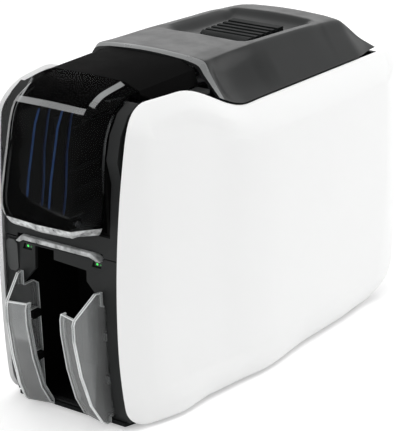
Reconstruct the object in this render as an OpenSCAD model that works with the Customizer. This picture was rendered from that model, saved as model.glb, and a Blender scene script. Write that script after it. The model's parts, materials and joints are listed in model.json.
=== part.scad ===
/* [Case] */
// Greatest width over the two side panels
case_w = 158; // [150:1:170]
// Half width of the front frame where it meets the side panels
front_half_w = 55; // [53:0.5:57]
// Height of the side panels at the front hump
hump_z = 242; // [238:1:246]
// Height of the side panels along the top cover
rail_z = 213; // [210:1:216]
// Wall of the moulded case parts
wall = 2.5; // [2:0.1:3]
// Visible gap between neighbouring case parts
seam = 0.8; // [0.5:0.1:1.2]
// Height of the rubber feet under the case
foot_h = 3; // [2:0.5:5]
// Radius of a rubber foot
foot_r = 8; // [6:0.5:9]

/* [Top cover] */
// Height of the arched front lip
lip_z = 253; // [250:0.5:256]
// Height of the cover at its rear grip
grip_z = 243; // [240:0.5:246]
// Half width of the cover at its shoulders
shoulder_half_w = 48; // [44:0.5:52]
// Length of the release button
release_len = 50; // [40:1:56]
// Half width of the release button
release_half_w = 24; // [18:0.5:28]
// Grooves across the release button
release_grooves = 5; // [3:1:6]
// Travel of the release button
release_travel = 2.5; // [1:0.5:3]

/* [Hopper door] */
// Half width of the flat front of the door
door_face_half_w = 34; // [32:0.5:35]
// Half width of the door where it meets the front frame
door_half_w = 44; // [43:0.5:44.5]
// Wall of the clear door
door_wall = 2.2; // [1.5:0.1:2.5]
// Radius of the door's hinge pins
door_pin_r = 2.5; // [2:0.1:3]

/* [Card path] */
// Length of a card
card_len = 85.6; // [85.6:0.1:86]
// Height of a card standing on its long edge
card_h = 54; // [53.98:0.01:54.5]
// Place of the card path across the case
path_x = -17; // [-19:0.5:-16]
// Radius of the rollers
roller_r = 9; // [8:0.25:9.5]
// Radius of the roller shafts
shaft_r = 3; // [2.5:0.1:3.5]
// Radial clearance of a shaft in its bearing
run_clear = 0.05; // [0.02:0.01:0.1]
// Travel of the card lift between the two levels
lift_travel = 81; // [70:1:81]

/* [Output wings] */
// Half width over the two clear wings at the case
wing_half_w = 38.9; // [37:0.1:39.2]
// How far a wing's side wall leans in towards its front
wing_tuck = 6; // [3:0.5:8]
// Angle at which a wing's front wall slants back towards the gap
wing_slant = 13; // [8:1:14]
// Half width of the gap between the wings
wing_gap_half_w = 16.2; // [12:0.1:18]
// Wall of the clear wings
wing_wall = 2.2; // [1.5:0.1:2.5]
// Height of the wing's upper edge at the case
wing_z = 107; // [102:0.5:108]

/* [Drive] */
// Tooth size of the gears
gear_module = 1; // [0.9:0.05:1.1]
// Teeth of the motor pinion
pinion_teeth = 12; // [12:1:14]
// Teeth of the idler gear
idler_teeth = 40; // [36:1:42]
// Teeth of the platen gear
platen_teeth = 30; // [26:1:32]

/* [Hidden] */
$fn = 48;

// ---- case outline ----
case_half_w = case_w / 2;
base_z = foot_h;
front_y = -160;
rear_y = 180;
taper_y = -40;
plan_front_half_w = front_half_w + 4;

// Smooth step from 0 to 1 over the stretch a to b
function smooth(v, a, b) = let (t = min(1, max(0, (v - a) / (b - a)))) t * t * (3 - 2 * t);
// Half width of the case seen from above
function plan_half_w(y) = case_half_w
  - (case_half_w - plan_front_half_w) * pow(max(0, (taper_y - y) / (taper_y - front_y)), 1.9)
  - 5 * pow(max(0, (y - 150) / 30), 2);
// Upper edge of the side panels seen from the side
function panel_top(y) = hump_z - (hump_z - rail_z) * smooth(y, -92, -12) - 4 * max(0, y) / rear_y;
// Front edge of the side panels seen from the side
function panel_front(z) = front_y
  + 13 * pow(max(0, (z - 70) / 145), 2) + 6 * pow(max(0, (70 - z) / 70), 2);
// Rear edge of the side panels seen from the side
function panel_rear(z) = rear_y - 0.001 * pow(max(0, 150 - z), 2);

// Round and straight stretches of a rounded box outline, as [y, z, outward y, outward z]
box_top = hump_z;
corner_front_top = 24;
corner_rear_top = 16;
corner_rear_bottom = 34;
corner_front_bottom = 18;
arc_steps = 5;
run_steps = 22;
least_corner = 3;
front_steps = 6;
rear_steps = 5;
function arc_points(cy, cz, r, from, to) = [for (i = [0:arc_steps])
  let (a = from + (to - from) * i / arc_steps) [cy + r * cos(a), cz + r * sin(a), cos(a), sin(a)]];
function run_points(y0, y1, z, nz) = [for (i = [1:run_steps - 1])
  [y0 + (y1 - y0) * i / run_steps, z, 0, nz]];
function side_points(z0, z1, y, ny, steps) = [for (i = [1:steps - 1])
  [y, z0 + (z1 - z0) * i / steps, ny, 0]];
// Outline of a rounded box set in by d, in four stretches that start at its lower front corner
function bottom_points(d) = let (f = max(corner_front_bottom, d + least_corner),
    r = max(corner_rear_bottom, d + least_corner))
  concat(arc_points(front_y + f, base_z + f, f - d, 180, 270),
    run_points(front_y + f, rear_y - r, base_z + d, -1),
    arc_points(rear_y - r, base_z + r, r - d, 270, 360));
function top_points(d) = let (f = max(corner_front_top, d + least_corner), r = max(corner_rear_top,
    d + least_corner))
  concat(arc_points(rear_y - r, box_top - r, r - d, 0, 90),
    run_points(rear_y - r, front_y + f, box_top - d, 1),
    arc_points(front_y + f, box_top - f, f - d, 90, 180));
function case_outline(d) = concat(bottom_points(d),
  side_points(base_z + max(corner_rear_bottom, d + least_corner), box_top - max(corner_rear_top,
      d + least_corner),
    rear_y - d, 1, rear_steps),
  top_points(d),
  side_points(box_top - max(corner_front_top, d + least_corner), base_z + max(corner_front_bottom,
      d + least_corner),
    front_y + d, -1, front_steps));

// A point of the outline bent onto the panel's own edges
function bent_point(p) =
  let (y = p[0], u = (y - front_y) / (rear_y - front_y), v = (p[1] - base_z) / (box_top - base_z),
    bent_y = y + (panel_front(panel_top(y)) - front_y) * (1 - u),
    z_here = base_z + v * (panel_top(bent_y) - base_z))
  [panel_front(z_here) * (1 - u) + panel_rear(z_here) * u, z_here];

// How far the panel's surface rolls inwards at a distance d from its edge
roll_width = 27;
crease = 0.35;
function edge_roll(p, d) = let (t = max(0, 1 - d / roll_width))
  (3 + 9 * pow(max(0, p[3]), 2) + 4 * pow(max(0, -p[3]), 2)) * ((1 - crease) * pow(t, 1.5) + crease * t);

panel_rings = [0, 2, 6, 12, 19, 27];

// One side panel as a closed shell: outer rings, then inner rings set in by the wall
module side_panel(side) {
  half = len(bottom_points(0));
  n = len(case_outline(0));
  rings = len(panel_rings);
  outer = [for (d = panel_rings) for (p = case_outline(d))
    let (q = bent_point(p)) [side * (plan_half_w(q[0]) - edge_roll(p, d)), q[0], q[1]]];
  inner = [for (d = panel_rings) for (p = case_outline(d + wall))
    let (q = bent_point(p)) [side * (plan_half_w(q[0]) - edge_roll(p, d) - wall), q[0], q[1]]];
  base_in = rings * n;
  // Upper point over the lower point i
  top = 2 * half + rear_steps - 2;
  cap = concat(
    [for (i = [0:half - 2]) [i, i + 1, top - i - 1, top - i]],
    [concat([0], [for (i = [top:n - 1]) i])],
    [[for (i = [half - 1:top - half + 1]) i]]);
  quads = concat(
    [for (r = [0:rings - 2]) for (i = [0:n - 1])
      [r * n + i, r * n + (i + 1) % n, (r + 1) * n + (i + 1) % n, (r + 1) * n + i]],
    [for (r = [0:rings - 2]) for (i = [0:n - 1])
      [base_in + (r + 1) * n + i, base_in + (r + 1) * n + (i + 1) % n, base_in + r * n + (i + 1) % n,
        base_in + r * n + i]],
    [for (i = [0:n - 1]) [i, base_in + i, base_in + (i + 1) % n, (i + 1) % n]],
    [for (f = cap) [for (k = f) (rings - 1) * n + k]],
    [for (f = cap) reversed([for (k = f) base_in + (rings - 1) * n + k])]);
  tris = [for (q = quads) for (k = [1:len(q) - 2]) [q[0], q[k], q[k + 1]]];
  polyhedron(points = concat(outer, inner), faces = side > 0 ? [for (t = tris) reversed(t)] : tris,
      convexity = 6);
}

module left_side_panel() { color("white") side_panel(-1); }
module right_side_panel() { color("white") side_panel(1); }

// ---- small helpers ----
// Box between two opposite corners
module span(a, b) { translate(a) cube(b - a); }
// Upright round bar from z0 to z1
module post(x, y, r, z0, z1) { translate([x, y, z0]) cylinder(r = r, h = z1 - z0); }
// Round bar along X from x0 to x1
module bar_x(y, z, r, x0, x1) { translate([x0, y, z]) rotate([0, 90, 0]) cylinder(r = r, h = x1 - x0); }
// Side view outline, in Y and Z, extruded across X
module across(x0, x1) { translate([x0, 0, 0]) rotate([90, 0, 90]) linear_extrude(x1 - x0) children(); }
// Front view outline, in X and Z, extruded from y0 back to y1
module along(y0, y1) { translate([0, y1, 0]) rotate([90, 0, 0]) linear_extrude(y1 - y0) children(); }

// ---- base ----
base_half_w = case_half_w - 11;
base_front_y = -152;
base_side_y = [base_front_y, -140, -120, -90, -70];
base_inset = 10.2;
seat_x = case_half_w - 16;
floor_t = 3;
floor_z = base_z + floor_t;
foot_places = [for (x = [-48, 48]) for (y = [-128, 116]) [x, y]];

module base_tray() {
  color("dimgray") {
    difference() {
      union() {
        translate([0, 0, base_z]) linear_extrude(floor_t) for (side = [0, 1]) mirror([side, 0])
          polygon(concat([[0, base_front_y]],
            [for (y = base_side_y) [min(base_half_w, plan_half_w(y) - base_inset), y]],
            [[base_half_w, base_rear_y - 12], [base_half_w - 12, base_rear_y], [0, base_rear_y]]));
        // Seats of the two frame plates
        for (side = [-1, 1]) for (y = [-20, 50, 110])
          span([side * seat_x - 4.5, y - 6, floor_z], [side * seat_x + 4.5, y + 6, plate_low_z]);
      }
      for (i = [0:5]) span([-30 + i * 12, 66, base_z - 1], [-26 + i * 12, 104, floor_z + 1]);
    }
  }
}

module rubber_feet() {
  color("black") for (p = foot_places) post(p[0], p[1], foot_r, 0, base_z);
}

// ---- frame plates that carry the panels and decks ----
plate_t = 3;
plate_low_z = 34;
plate_high_z = 178;
plate_outer = case_half_w - wall - 0.02;
module frame_plate(side) {
  inner = plate_outer - plate_t;
  difference() {
    union() {
      across(side > 0 ? inner : -plate_outer, side > 0 ? plate_outer : -inner)
        polygon([[-30, plate_low_z], [118, plate_low_z], [134, 50], [134, 164], [122, plate_high_z],
            [-30, plate_high_z]]);
      // Flanges that carry the two decks and stand on the base
      for (z = [lower_deck_z - 4, plate_high_z - 4])
        span([side > 0 ? deck_half_w - 6 : -inner - 0.01, -30, z],
          [side > 0 ? inner + 0.01 : 6 - deck_half_w, deck_rear_y, z + 4]);
      // Bosses for the screws of the rear panel
      for (z = [screw_low_z, screw_high_z]) difference() {
        union() {
          span([side * screw_x - 5, 120, z - 4.5], [side * screw_x + 5,
              rear_face(z - 4.5) - rear_t - 0.02, z + 4.5]);
          span([side > 0 ? screw_x - 2 : -inner - 0.01, 120, z - 4.5],
            [side > 0 ? inner + 0.01 : 2 - screw_x, 133, z + 4.5]);
        }
        translate([side * screw_x, rear_face(z) - 14, z]) rotate([-90, 0, 0]) cylinder(r = screw_r, h = 20);
      }
      span([side > 0 ? seat_x - 5 : -inner - 0.01, -26, plate_low_z],
        [side > 0 ? inner + 0.01 : 5 - seat_x, 117, plate_low_z + 3]);
    }
    // Lightening windows
    for (y = [-6, 44, 94]) translate([side * case_half_w, 0, 0])
      across(-10, 10) polygon([[y - 16, 52], [y + 16, 52], [y + 16, 116], [y + 8, 126], [y - 8, 126],
          [y - 16, 116]]);
  }
}
module left_frame_plate() { color("lightgray") frame_plate(-1); }
module right_frame_plate() { color("lightgray") frame_plate(1); }

// ---- rear ----
rear_inset = 4;
rear_t = 3;
rear_top_z = 204;
rear_half_w = case_half_w - 10;
screw_x = case_half_w - 17;
screw_low_z = 58;
screw_high_z = 168;
screw_r = 1.5;
socket_z = 29;
socket_half_h = 5.5;
socket_gap = 0.5;
socket_front_y = 150;
socket_rear_y = 161;
inlet_x = 49;
inlet_half_w = 5.5;
usb_x = 30;
usb_half_w = 6;
// Rear outline of the case at a height, before its front and rear edges are bent
function rear_nominal(z) = let (zn = base_z + (z - base_z) * (box_top - base_z) / (panel_top(165) - base_z),
  low = max(0, base_z + corner_rear_bottom - zn), high = max(0, zn - box_top + corner_rear_top))
  rear_y - corner_rear_bottom + sqrt(max(0, pow(corner_rear_bottom, 2) - low * low))
    - corner_rear_top + sqrt(max(0, pow(corner_rear_top, 2) - high * high));
function rear_face(z) = let (u = (rear_nominal(z) - front_y) / (rear_y - front_y))
  panel_front(z) * (1 - u) + panel_rear(z) * u - rear_inset;
base_rear_y = rear_face(floor_z);
module rear_panel() {
  rows = [for (i = [0:20]) floor_z + (rear_top_z - floor_z) * i / 20];
  color("dimgray") difference() {
    intersection() {
      across(-rear_half_w, rear_half_w) polygon(concat(
        [for (z = rows) [rear_face(z), z]],
        [for (i = [len(rows) - 1:-1:0]) [rear_face(rows[i]) - rear_t, rows[i]]]));
      along(100, 200) polygon([[-rear_half_w, 0], [rear_half_w, 0], [rear_half_w, rear_top_z - 18],
        [rear_half_w - 8, rear_top_z], [8 - rear_half_w, rear_top_z], [-rear_half_w, rear_top_z - 18]]);
    }
    for (s = [[inlet_x, inlet_half_w + socket_gap], [usb_x, usb_half_w + socket_gap]])
      span([s[0] - s[1], 140, socket_z - socket_half_h - socket_gap],
        [s[0] + s[1], 190, socket_z + socket_half_h + socket_gap]);
    // Louvres for cooling air
    for (i = [0:6]) span([-56, 150, 100 + i * 8], [-12, 190, 103.5 + i * 8]);
    for (p = screw_places) translate([p[0], rear_face(p[1]) - 20, p[1]]) rotate([-90, 0, 0]) {
      cylinder(r = screw_r, h = 50);
      translate([0, 0, 20 - screw_sink]) cylinder(r = screw_head_r + screw_head_gap, h = 20);
    }
  }
}
screw_places = [for (x = [-screw_x, screw_x]) for (z = [screw_low_z, screw_high_z]) [x, z]];
screw_head_r = 3;
screw_head_gap = 0.3;
screw_sink = 0.9;
module housing_screws() {
  color("silver") for (p = screw_places) translate([p[0], 0, p[1]]) {
    translate([0, rear_face(p[1]) - 12, 0]) rotate([-90, 0, 0]) cylinder(r = screw_r,
        h = 12.2 - screw_sink);
    translate([0, rear_face(p[1]) - screw_sink, 0]) rotate([-90, 0, 0]) difference() {
      cylinder(r = screw_head_r, h = 1.8);
      translate([0, 0, 1]) cylinder(r = 1.5, h = 2, $fn = 6);
    }
  }
}

// ---- front frame ----
split_z = 131;
frame_setback = 5;
frame_t = 3;
frame_half_w = front_half_w - 0.5;
function frame_face(z) = panel_front(z) + frame_setback + 1.5 * smooth(z, 40, 131);
door_low_z = 147;
cheek_top = [[-149, 205], [-144, 222], [-135, 235], [-124, 241]];
cheek_band = concat([for (z = [split_z + seam / 2, door_low_z, 168, 186]) [frame_face(z), z]], cheek_top);
// A line of side view points moved back and down into the case by the frame's wall
function moved(pts, dy, dz) = [for (p = pts) [p[0] + dy, p[1] + dz]];
function reversed(v) = [for (i = [len(v) - 1:-1:0]) v[i]];
shoulder_z = 233;
module front_bezel() {
  color("#3a3d3c") difference() {
    union() {
      // Front wall and the two cheeks beside the door
      across(-frame_half_w, frame_half_w)
        polygon(concat(cheek_band, [[-124, 238]],
          [for (i = [len(cheek_band) - 2:-1:1]) [cheek_band[i][0] + frame_t, cheek_band[i][1] - 1]],
          [[frame_face(split_z) + frame_t, split_z + seam / 2]]));
      // Shoulders under the sides of the door cap
      for (side = [-1, 1]) translate([0, 0, shoulder_z - 3]) linear_extrude(3) polygon([
        [side * (cap_half_w + 1), -127], [side * frame_half_w, -127], [side * frame_half_w, -116],
            [side * 61.5, -52],
        [side * (cap_half_w + 1), -52]]);
      // Returns of the cheeks along the side panels
      for (side = [-1, 1]) across(side > 0 ? frame_half_w - 3 : -frame_half_w,
          side > 0 ? frame_half_w : 3 - frame_half_w)
        polygon([[frame_face(split_z) + 1, split_z + seam / 2], [frame_face(168) + 1, 168], [-147, 205],
          [-142, 220], [-126, shoulder_z - 1], [-100, shoulder_z - 1], [-128, 205], [-128,
              split_z + seam / 2]]);
    }
    // Doorway
    span([-door_half_w - seam, -200, door_low_z], [door_half_w + seam, -120, 260]);
    span([-light_left, -200, split_z - light_drop], [light_right, -120, split_z + light_z]);
  }
  color("#3a3d3c") door_ears();
}

light_left = 43;
light_right = 38;
light_z = 3.2;
light_drop = 2.4;
module light_bar() {
  color("lightcyan", 0.6) along(frame_face(split_z) - 3, frame_face(split_z) + 4) polygon([
    [-light_left, split_z - light_drop], [-light_left + 6, split_z + light_z], [light_right - 8,
        split_z + light_z],
    [light_right, split_z - light_drop], [light_right - 4, split_z - light_drop],
    [light_right - 10, split_z - 0.4],
    [-light_left + 8, split_z - 0.4], [-light_left + 4, split_z - light_drop]]);
}

// Opening of the output hopper in the lower front, seen from the front
mouth_half_w = 41;
mouth_low_z = floor_z + 1.5;
mouth_top_z = 119;
slot_left = -26;
slot_right = -8;
slot_top_z = 127.5;
mouth_outline = [[-mouth_half_w, mouth_low_z], [mouth_half_w, mouth_low_z], [mouth_half_w, 94], [23, 111],
  [23, mouth_top_z], [slot_right, mouth_top_z + 1.5], [slot_right, slot_top_z], [slot_left, slot_top_z],
  [slot_left, 110], [-mouth_half_w, 94]];
button_x = -47.5;
button_z = 116.5;
button_half_w = 5.5;
button_half_h = 12.5;
button_gap = 0.4;
indicator_x = 33;
indicator_z = 125;
indicator_outline = [[-5, -2], [3.5, -2], [5, 2.4], [-3.5, 2.4]];
module octagon(hw, hh, c) {
  polygon([[-hw, c - hh], [c - hw, -hh], [hw - c, -hh], [hw, c - hh],
    [hw, hh - c], [hw - c, hh], [c - hw, hh], [-hw, hh - c]]);
}
module lower_front_panel() {
  rows = [floor_z, 12, 26, 40, 70, 85, 100, 115, split_z - seam / 2];
  front_line = [for (z = rows) [frame_face(z), z]];
  color("#3a3d3c") difference() {
    union() {
      across(-frame_half_w, frame_half_w)
        polygon(concat(front_line, [for (p = reversed(front_line)) [p[0] + frame_t, p[1]]]));
      for (side = [-1, 1]) across(side > 0 ? frame_half_w - 3 : -frame_half_w,
          side > 0 ? frame_half_w : 3 - frame_half_w)
        polygon(concat(moved(front_line, 1, 0), [[-128, split_z - seam / 2], [-128, floor_z]]));
      // Seat of the power button's spring
      span([-frame_half_w, button_back_y + spring_room + 0.1, button_z - 4],
        [-43.2, button_back_y + spring_room + 2, button_z + 4]);
    }
    along(-200, -120) polygon(mouth_outline);
    translate([button_x, 0, button_z]) along(-200, -120)
      octagon(button_half_w + button_gap, button_half_h + button_gap, 3);
    for (side = [-1, 1]) translate([side * indicator_x, 0, indicator_z]) along(-200, -120)
      polygon(indicator_outline);
    span([-light_left, -200, split_z - light_drop], [light_right, -120, split_z + light_z]);
  }
}
module indicator_lights() {
  color("limegreen") for (side = [-1, 1]) translate([side * indicator_x, 0, indicator_z])
    along(frame_face(indicator_z) + 1.5, frame_face(indicator_z) + frame_t + 1)
      polygon(indicator_outline);
}

power_travel = 1.5;
module power_button() {
  y0 = frame_face(button_z) - 1.2;
  color("#2c2f2e") translate([button_x, 0, button_z]) {
    along(y0, y0 + 6) octagon(button_half_w, button_half_h, 3);
    translate([0, y0 + 5.9, 0]) rotate([-90, 0, 0]) cylinder(r = 1.6, h = 4);
  }
}
power_spring_r = 2.6;

// ---- springs ----
// Round wire coiled along +Z, from z 0 to length
module coil(length, radius, wire, turns) {
  sides = 6;
  per_turn = 12;
  steps = turns * per_turn;
  pts = [for (i = [0:steps]) let (a = i * 360 / per_turn, zc = wire + (length - 2 * wire) * i / steps)
    for (j = [0:sides - 1]) let (b = j * 360 / sides, rr = radius + wire * cos(b))
      [rr * cos(a), rr * sin(a), zc + wire * sin(b)]];
  faces = concat(
    [for (i = [0:steps - 1]) for (j = [0:sides - 1]) let (k = (j + 1) % sides)
      [i * sides + j, i * sides + k, (i + 1) * sides + k, (i + 1) * sides + j]],
    [[for (j = [sides - 1:-1:0]) j]],
    [[for (j = [0:sides - 1]) steps * sides + j]]);
  polyhedron(points = pts, faces = [for (f = faces) for (k = [1:len(f) - 2]) [f[0], f[k], f[k + 1]]],
      convexity = 8);
}

button_back_y = frame_face(button_z) + 4.8;
spring_room = power_travel + 4.5;
module power_button_spring() {
  color("silver") translate([button_x, button_back_y + 0.1, button_z]) rotate([-90, 0, 0])
    coil(spring_room, power_spring_r, 0.35, 4);
}

// ---- hopper door: front corner line and rear edge line, from the lower lip to the cap ----
// Each row: front y, front z, front half width, rear y, rear z, rear half width
cap_half_w = door_half_w + 5;
cap_top_z = lip_z - 3;
cap_front_y = -111.5;
cap_rear_y = -49;
door_rows = [
  [-162, 147.5, door_face_half_w - 7, -152, 147.5, door_half_w - 12],
  [-170, 150, door_face_half_w - 4, -152.5, 149, door_half_w - 7],
  [-174.5, 157, door_face_half_w - 1, -153, 155, door_half_w - 3],
  [-176, 167, door_face_half_w, -153, 165, door_half_w - 0.5],
  [-171.5, 189, door_face_half_w, -152, 186, door_half_w],
  [-167, 205, door_face_half_w, -150, 203, door_half_w],
  [-161, 226, door_face_half_w, -145.5, 221, door_half_w],
  [-155, 237, door_face_half_w, -137.5, 233, door_half_w],
  [-147, 243, door_face_half_w - 0.5, -129, 240, door_half_w + 0.3],
  [-135, 247.5, door_face_half_w - 1, -120, 244.5, door_half_w + 1.5],
  [-112.3, cap_top_z, door_face_half_w - 1.5, -112.3, cap_top_z - 5, door_half_w + 2]];
// Direction into the case, at right angles to the front line
function door_inward(i) = let (a = door_rows[max(0, i - 1)], b = door_rows[min(len(door_rows) - 1, i + 1)],
  t = [b[0] - a[0], b[1] - a[1]] / norm([b[0] - a[0], b[1] - a[1]])) [t[1], -t[0]];
// Half of one cross-section, outer when w is 0 and inner when w is the wall
function door_half_row(i, w) = let (r = door_rows[i], n = door_inward(i))
  [[r[5] - w, r[3], r[4]],
   [r[2] + 1.2 - w, r[0] + (2.4 + w) * n[0], r[1] + (2.4 + w) * n[1]],
   [r[2] - 2.6 - w, r[0] + (0.2 + w) * n[0], r[1] + (0.2 + w) * n[1]],
   [0, r[0] + (w - 1) * n[0], r[1] + (w - 1) * n[1]]];
function mirrored_row(h) = concat([for (p = h) p], [for (i = [len(h) - 2:-1:0]) [-h[i][0], h[i][1],
    h[i][2]]]);
// Closed shell between an outer and an inner stack of equal open rows
module shell_between(outer, inner) {
  rows = len(outer);
  n = len(outer[0]);
  skin_pts = concat([for (r = outer) for (p = r) p], [for (r = inner) for (p = r) p]);
  o = rows * n;
  quads = concat(
    [for (r = [0:rows - 2]) for (i = [0:n - 2]) [r * n + i, (r + 1) * n + i, (r + 1) * n + i + 1,
        r * n + i + 1]],
    [for (r = [0:rows - 2]) for (i = [0:n - 2])
      [o + r * n + i, o + r * n + i + 1, o + (r + 1) * n + i + 1, o + (r + 1) * n + i]],
    [for (i = [0:n - 2]) [i, i + 1, o + i + 1, o + i]],
    [for (i = [0:n - 2]) let (k = (rows - 1) * n) [k + i + 1, k + i, o + k + i, o + k + i + 1]],
    [for (r = [0:rows - 2]) [r * n, o + r * n, o + (r + 1) * n, (r + 1) * n]],
    [for (r = [0:rows - 2]) let (k = n - 1) [(r + 1) * n + k, o + (r + 1) * n + k, o + r * n + k,
        r * n + k]]);
  polyhedron(points = skin_pts, faces = [for (q = quads) for (t = [[q[0], q[1], q[2]], [q[0], q[2],
      q[3]]]) t],
    convexity = 6);
}
module hopper_door() {
  rows = [0:len(door_rows) - 1];
  color("lightcyan", 0.35) shell_between([for (i = rows) reversed(mirrored_row(door_half_row(i, 0)))],
    [for (i = rows) reversed(mirrored_row(door_half_row(i, door_wall)))]);
}

// Clear upright guides behind the door's face, for the front edges of the cards
guide_x = 10.5;
guide_t = 1.4;
guide_gap = 0.3;
function guide_front(i) = let (r = door_rows[i], n = door_inward(i), w = door_wall + guide_gap - 0.6)
  [r[0] + w * n[0], r[1] + w * n[1]];
module door_guides() {
  front = [for (i = [1:len(door_rows) - 2]) guide_front(i)];
  color("steelblue", 0.4) for (side = [-1, 1])
    across(side * guide_x - guide_t / 2, side * guide_x + guide_t / 2) polygon(concat(front,
      [[-136, 240], [-144, 230], [-151, 205], [-154, 180], [-157, 166], [-161, 153.5]]));
}

cap_outline = [[0, cap_top_z + 0.6], [door_face_half_w - 1, cap_top_z], [door_half_w + 2, cap_top_z - 5],
  [cap_half_w, shoulder_z + 0.5]];
function half_band(pts, w) = concat(pts, [[pts[3][0] - w, pts[3][1]], [pts[2][0] - w * 1.1,
    pts[2][1] - w * 0.4],
  [pts[1][0] - 0.6, pts[1][1] - w], [0, pts[0][1] - w]]);
module door_cap() {
  color("#17191a") difference() {
    along(cap_front_y, cap_rear_y) for (side = [0, 1]) mirror([side, 0]) polygon(half_band(cap_outline,
        wall));
    across(-100, 100) polygon([[cap_front_y - 1, shoulder_z - 5], [cap_front_y + 18, shoulder_z - 5],
      [cap_front_y + 16, shoulder_z + 0.5], [cap_front_y - 1, cap_top_z - 7]]);
  }
  // Tongues that carry the clear door
  color("#17191a") for (side = [-1, 1]) across(side * 15 - 7, side * 15 + 7) polygon([
    [cap_front_y - 7, cap_top_z - 5.5], [cap_front_y - 7, cap_top_z - 3.3], [cap_front_y + 0.1,
        cap_top_z - 2.6],
    [cap_front_y + 0.1, cap_top_z - 1.2], [cap_front_y + 6, cap_top_z - 1.2], [cap_front_y + 6,
        cap_top_z - 5.5]]);
}

// Pivot of the door behind its lower lip
door_pivot = [-160, 157];
ear_x = 19.5;
ear_t = 3;
module door_ears() {
  for (side = [-1, 1]) translate([side * ear_x, 0, 0]) difference() {
    across(-ear_t / 2, ear_t / 2) union() {
      polygon([[-149.6, 141], [-147.4, 141], [-147.4, 161], door_pivot + [0, 4],
        door_pivot + [0, -3], [-151.5, 154], [-150.2, door_low_z]]);
      translate(door_pivot) circle(r = 4);
    }
    bar_x(door_pivot[0], door_pivot[1], door_pin_r, -ear_t, ear_t);
  }
}
module door_hinge_pins() {
  color("silver") for (side = [-1, 1])
    bar_x(door_pivot[0], door_pivot[1], door_pin_r, side * (ear_x + 2) - 3.6, side * (ear_x + 2) + 3.6);
}
lug_x = ear_x + 3.4;
module door_lugs() {
  color("lightcyan", 0.5) difference() {
    for (side = [-1, 1]) translate([side * lug_x, 0, 0]) across(-ear_t / 2, ear_t / 2) union() {
      polygon([[-167.2, 153], [-171.4, 158], [-173.1, 165],
        door_pivot + [-1, 4.6], door_pivot + [0, -4.6]]);
      translate(door_pivot) circle(r = 4.6);
    }
    bar_x(door_pivot[0], door_pivot[1], door_pin_r + run_clear, -60, 60);
  }
}

// ---- top cover ----
cover_front_y = -47.5;
cover_rear_y = 164;
edge_set_in = 12;
// Each row: y, shoulder half width, shoulder z, crown, dish depth, flank hollow
cover_rows = [
  [cover_front_y, shoulder_half_w + 0.5, lip_z - 6, 4.8, 0, 0],
  [-42, shoulder_half_w + 2, lip_z - 4, 4, 0, 0],
  [-30, shoulder_half_w + 1, lip_z - 4.5, 3.5, 0, 3],
  [-10, shoulder_half_w, lip_z - 5, 3, 0, 4.5],
  [12, shoulder_half_w - 0.5, lip_z - 5.5, 2, 0, 3],
  [24, shoulder_half_w - 1, grip_z + 4, 1.5, 3, 1],
  [34, shoulder_half_w - 1.5, grip_z + 3.5, 1, 7, 0],
  [60, shoulder_half_w - 1.5, grip_z + 2, 1, 8, 0],
  [92, shoulder_half_w - 1, grip_z, 1, 7.5, 0],
  [104, shoulder_half_w - 1, grip_z - 1.5, 1.5, 4, 0],
  [111, shoulder_half_w - 0.5, grip_z - 2.3, 3, 0, 0],
  [132, shoulder_half_w - 0.5, grip_z - 5, 3.5, 0, 0],
  [141, shoulder_half_w + 0.5, grip_z - 11, 3, 0, 0],
  [153, shoulder_half_w + 5, grip_z - 23, 3, 0, 0],
  [cover_rear_y, shoulder_half_w + 10, grip_z - 31.5, 0.5, 0, 0]];
cover_ys = [cover_front_y, -42, -36, -30, -24, -18, -12, -6, 2, 12, 24, 34, 60, 92, 104, 111, 132, 141,
    153, cover_rear_y];
cover_stack = [for (y = cover_ys) [y, for (k = [1:5]) lookup(y, [for (r = cover_rows) [r[0], r[k]]])]];
function cover_edge(y) = [plan_half_w(y) - edge_set_in - 5 * smooth(y, 130, 158),
    panel_top(y) + seam + 0.4];
function cover_half_row(r, w) = let (y = r[0], e = cover_edge(y), h = r[1], z = r[2], c = r[3],
    d = r[4], k = r[5])
  [[e[0] - 1.2 * w, y, e[1]],
   [e[0] + (h - e[0]) * 0.36 - k - w, y, e[1] + (z - e[1]) * 0.34 - k * 0.5 - w * 0.4],
   [e[0] + (h - e[0]) * 0.72 - k - w, y, e[1] + (z - e[1]) * 0.7 - k * 0.5 - w * 0.5],
   [h - w, y, z - w * 0.7],
   [h - 4 - w * 0.3, y, z + c * 0.3 - w],
   [h - 8, y, z + c * 0.45 - d * 0.25 - w],
   [h - 14, y, z + c * 0.65 - d - w],
   [0, y, z + c - d - w]];
release_front_y = 41;
module top_cover() {
  color("#3c3f3e") difference() {
    shell_between([for (r = cover_stack) reversed(mirrored_row(cover_half_row(r, 0)))],
      [for (r = cover_stack) reversed(mirrored_row(cover_half_row(r, wall)))]);
    span([-release_half_w - seam / 2, release_front_y - seam / 2, release_under_z - 6],
      [release_half_w + seam / 2, release_front_y + release_len + seam / 2, max(lip_z, grip_z) + 7]);
  }
}

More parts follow.
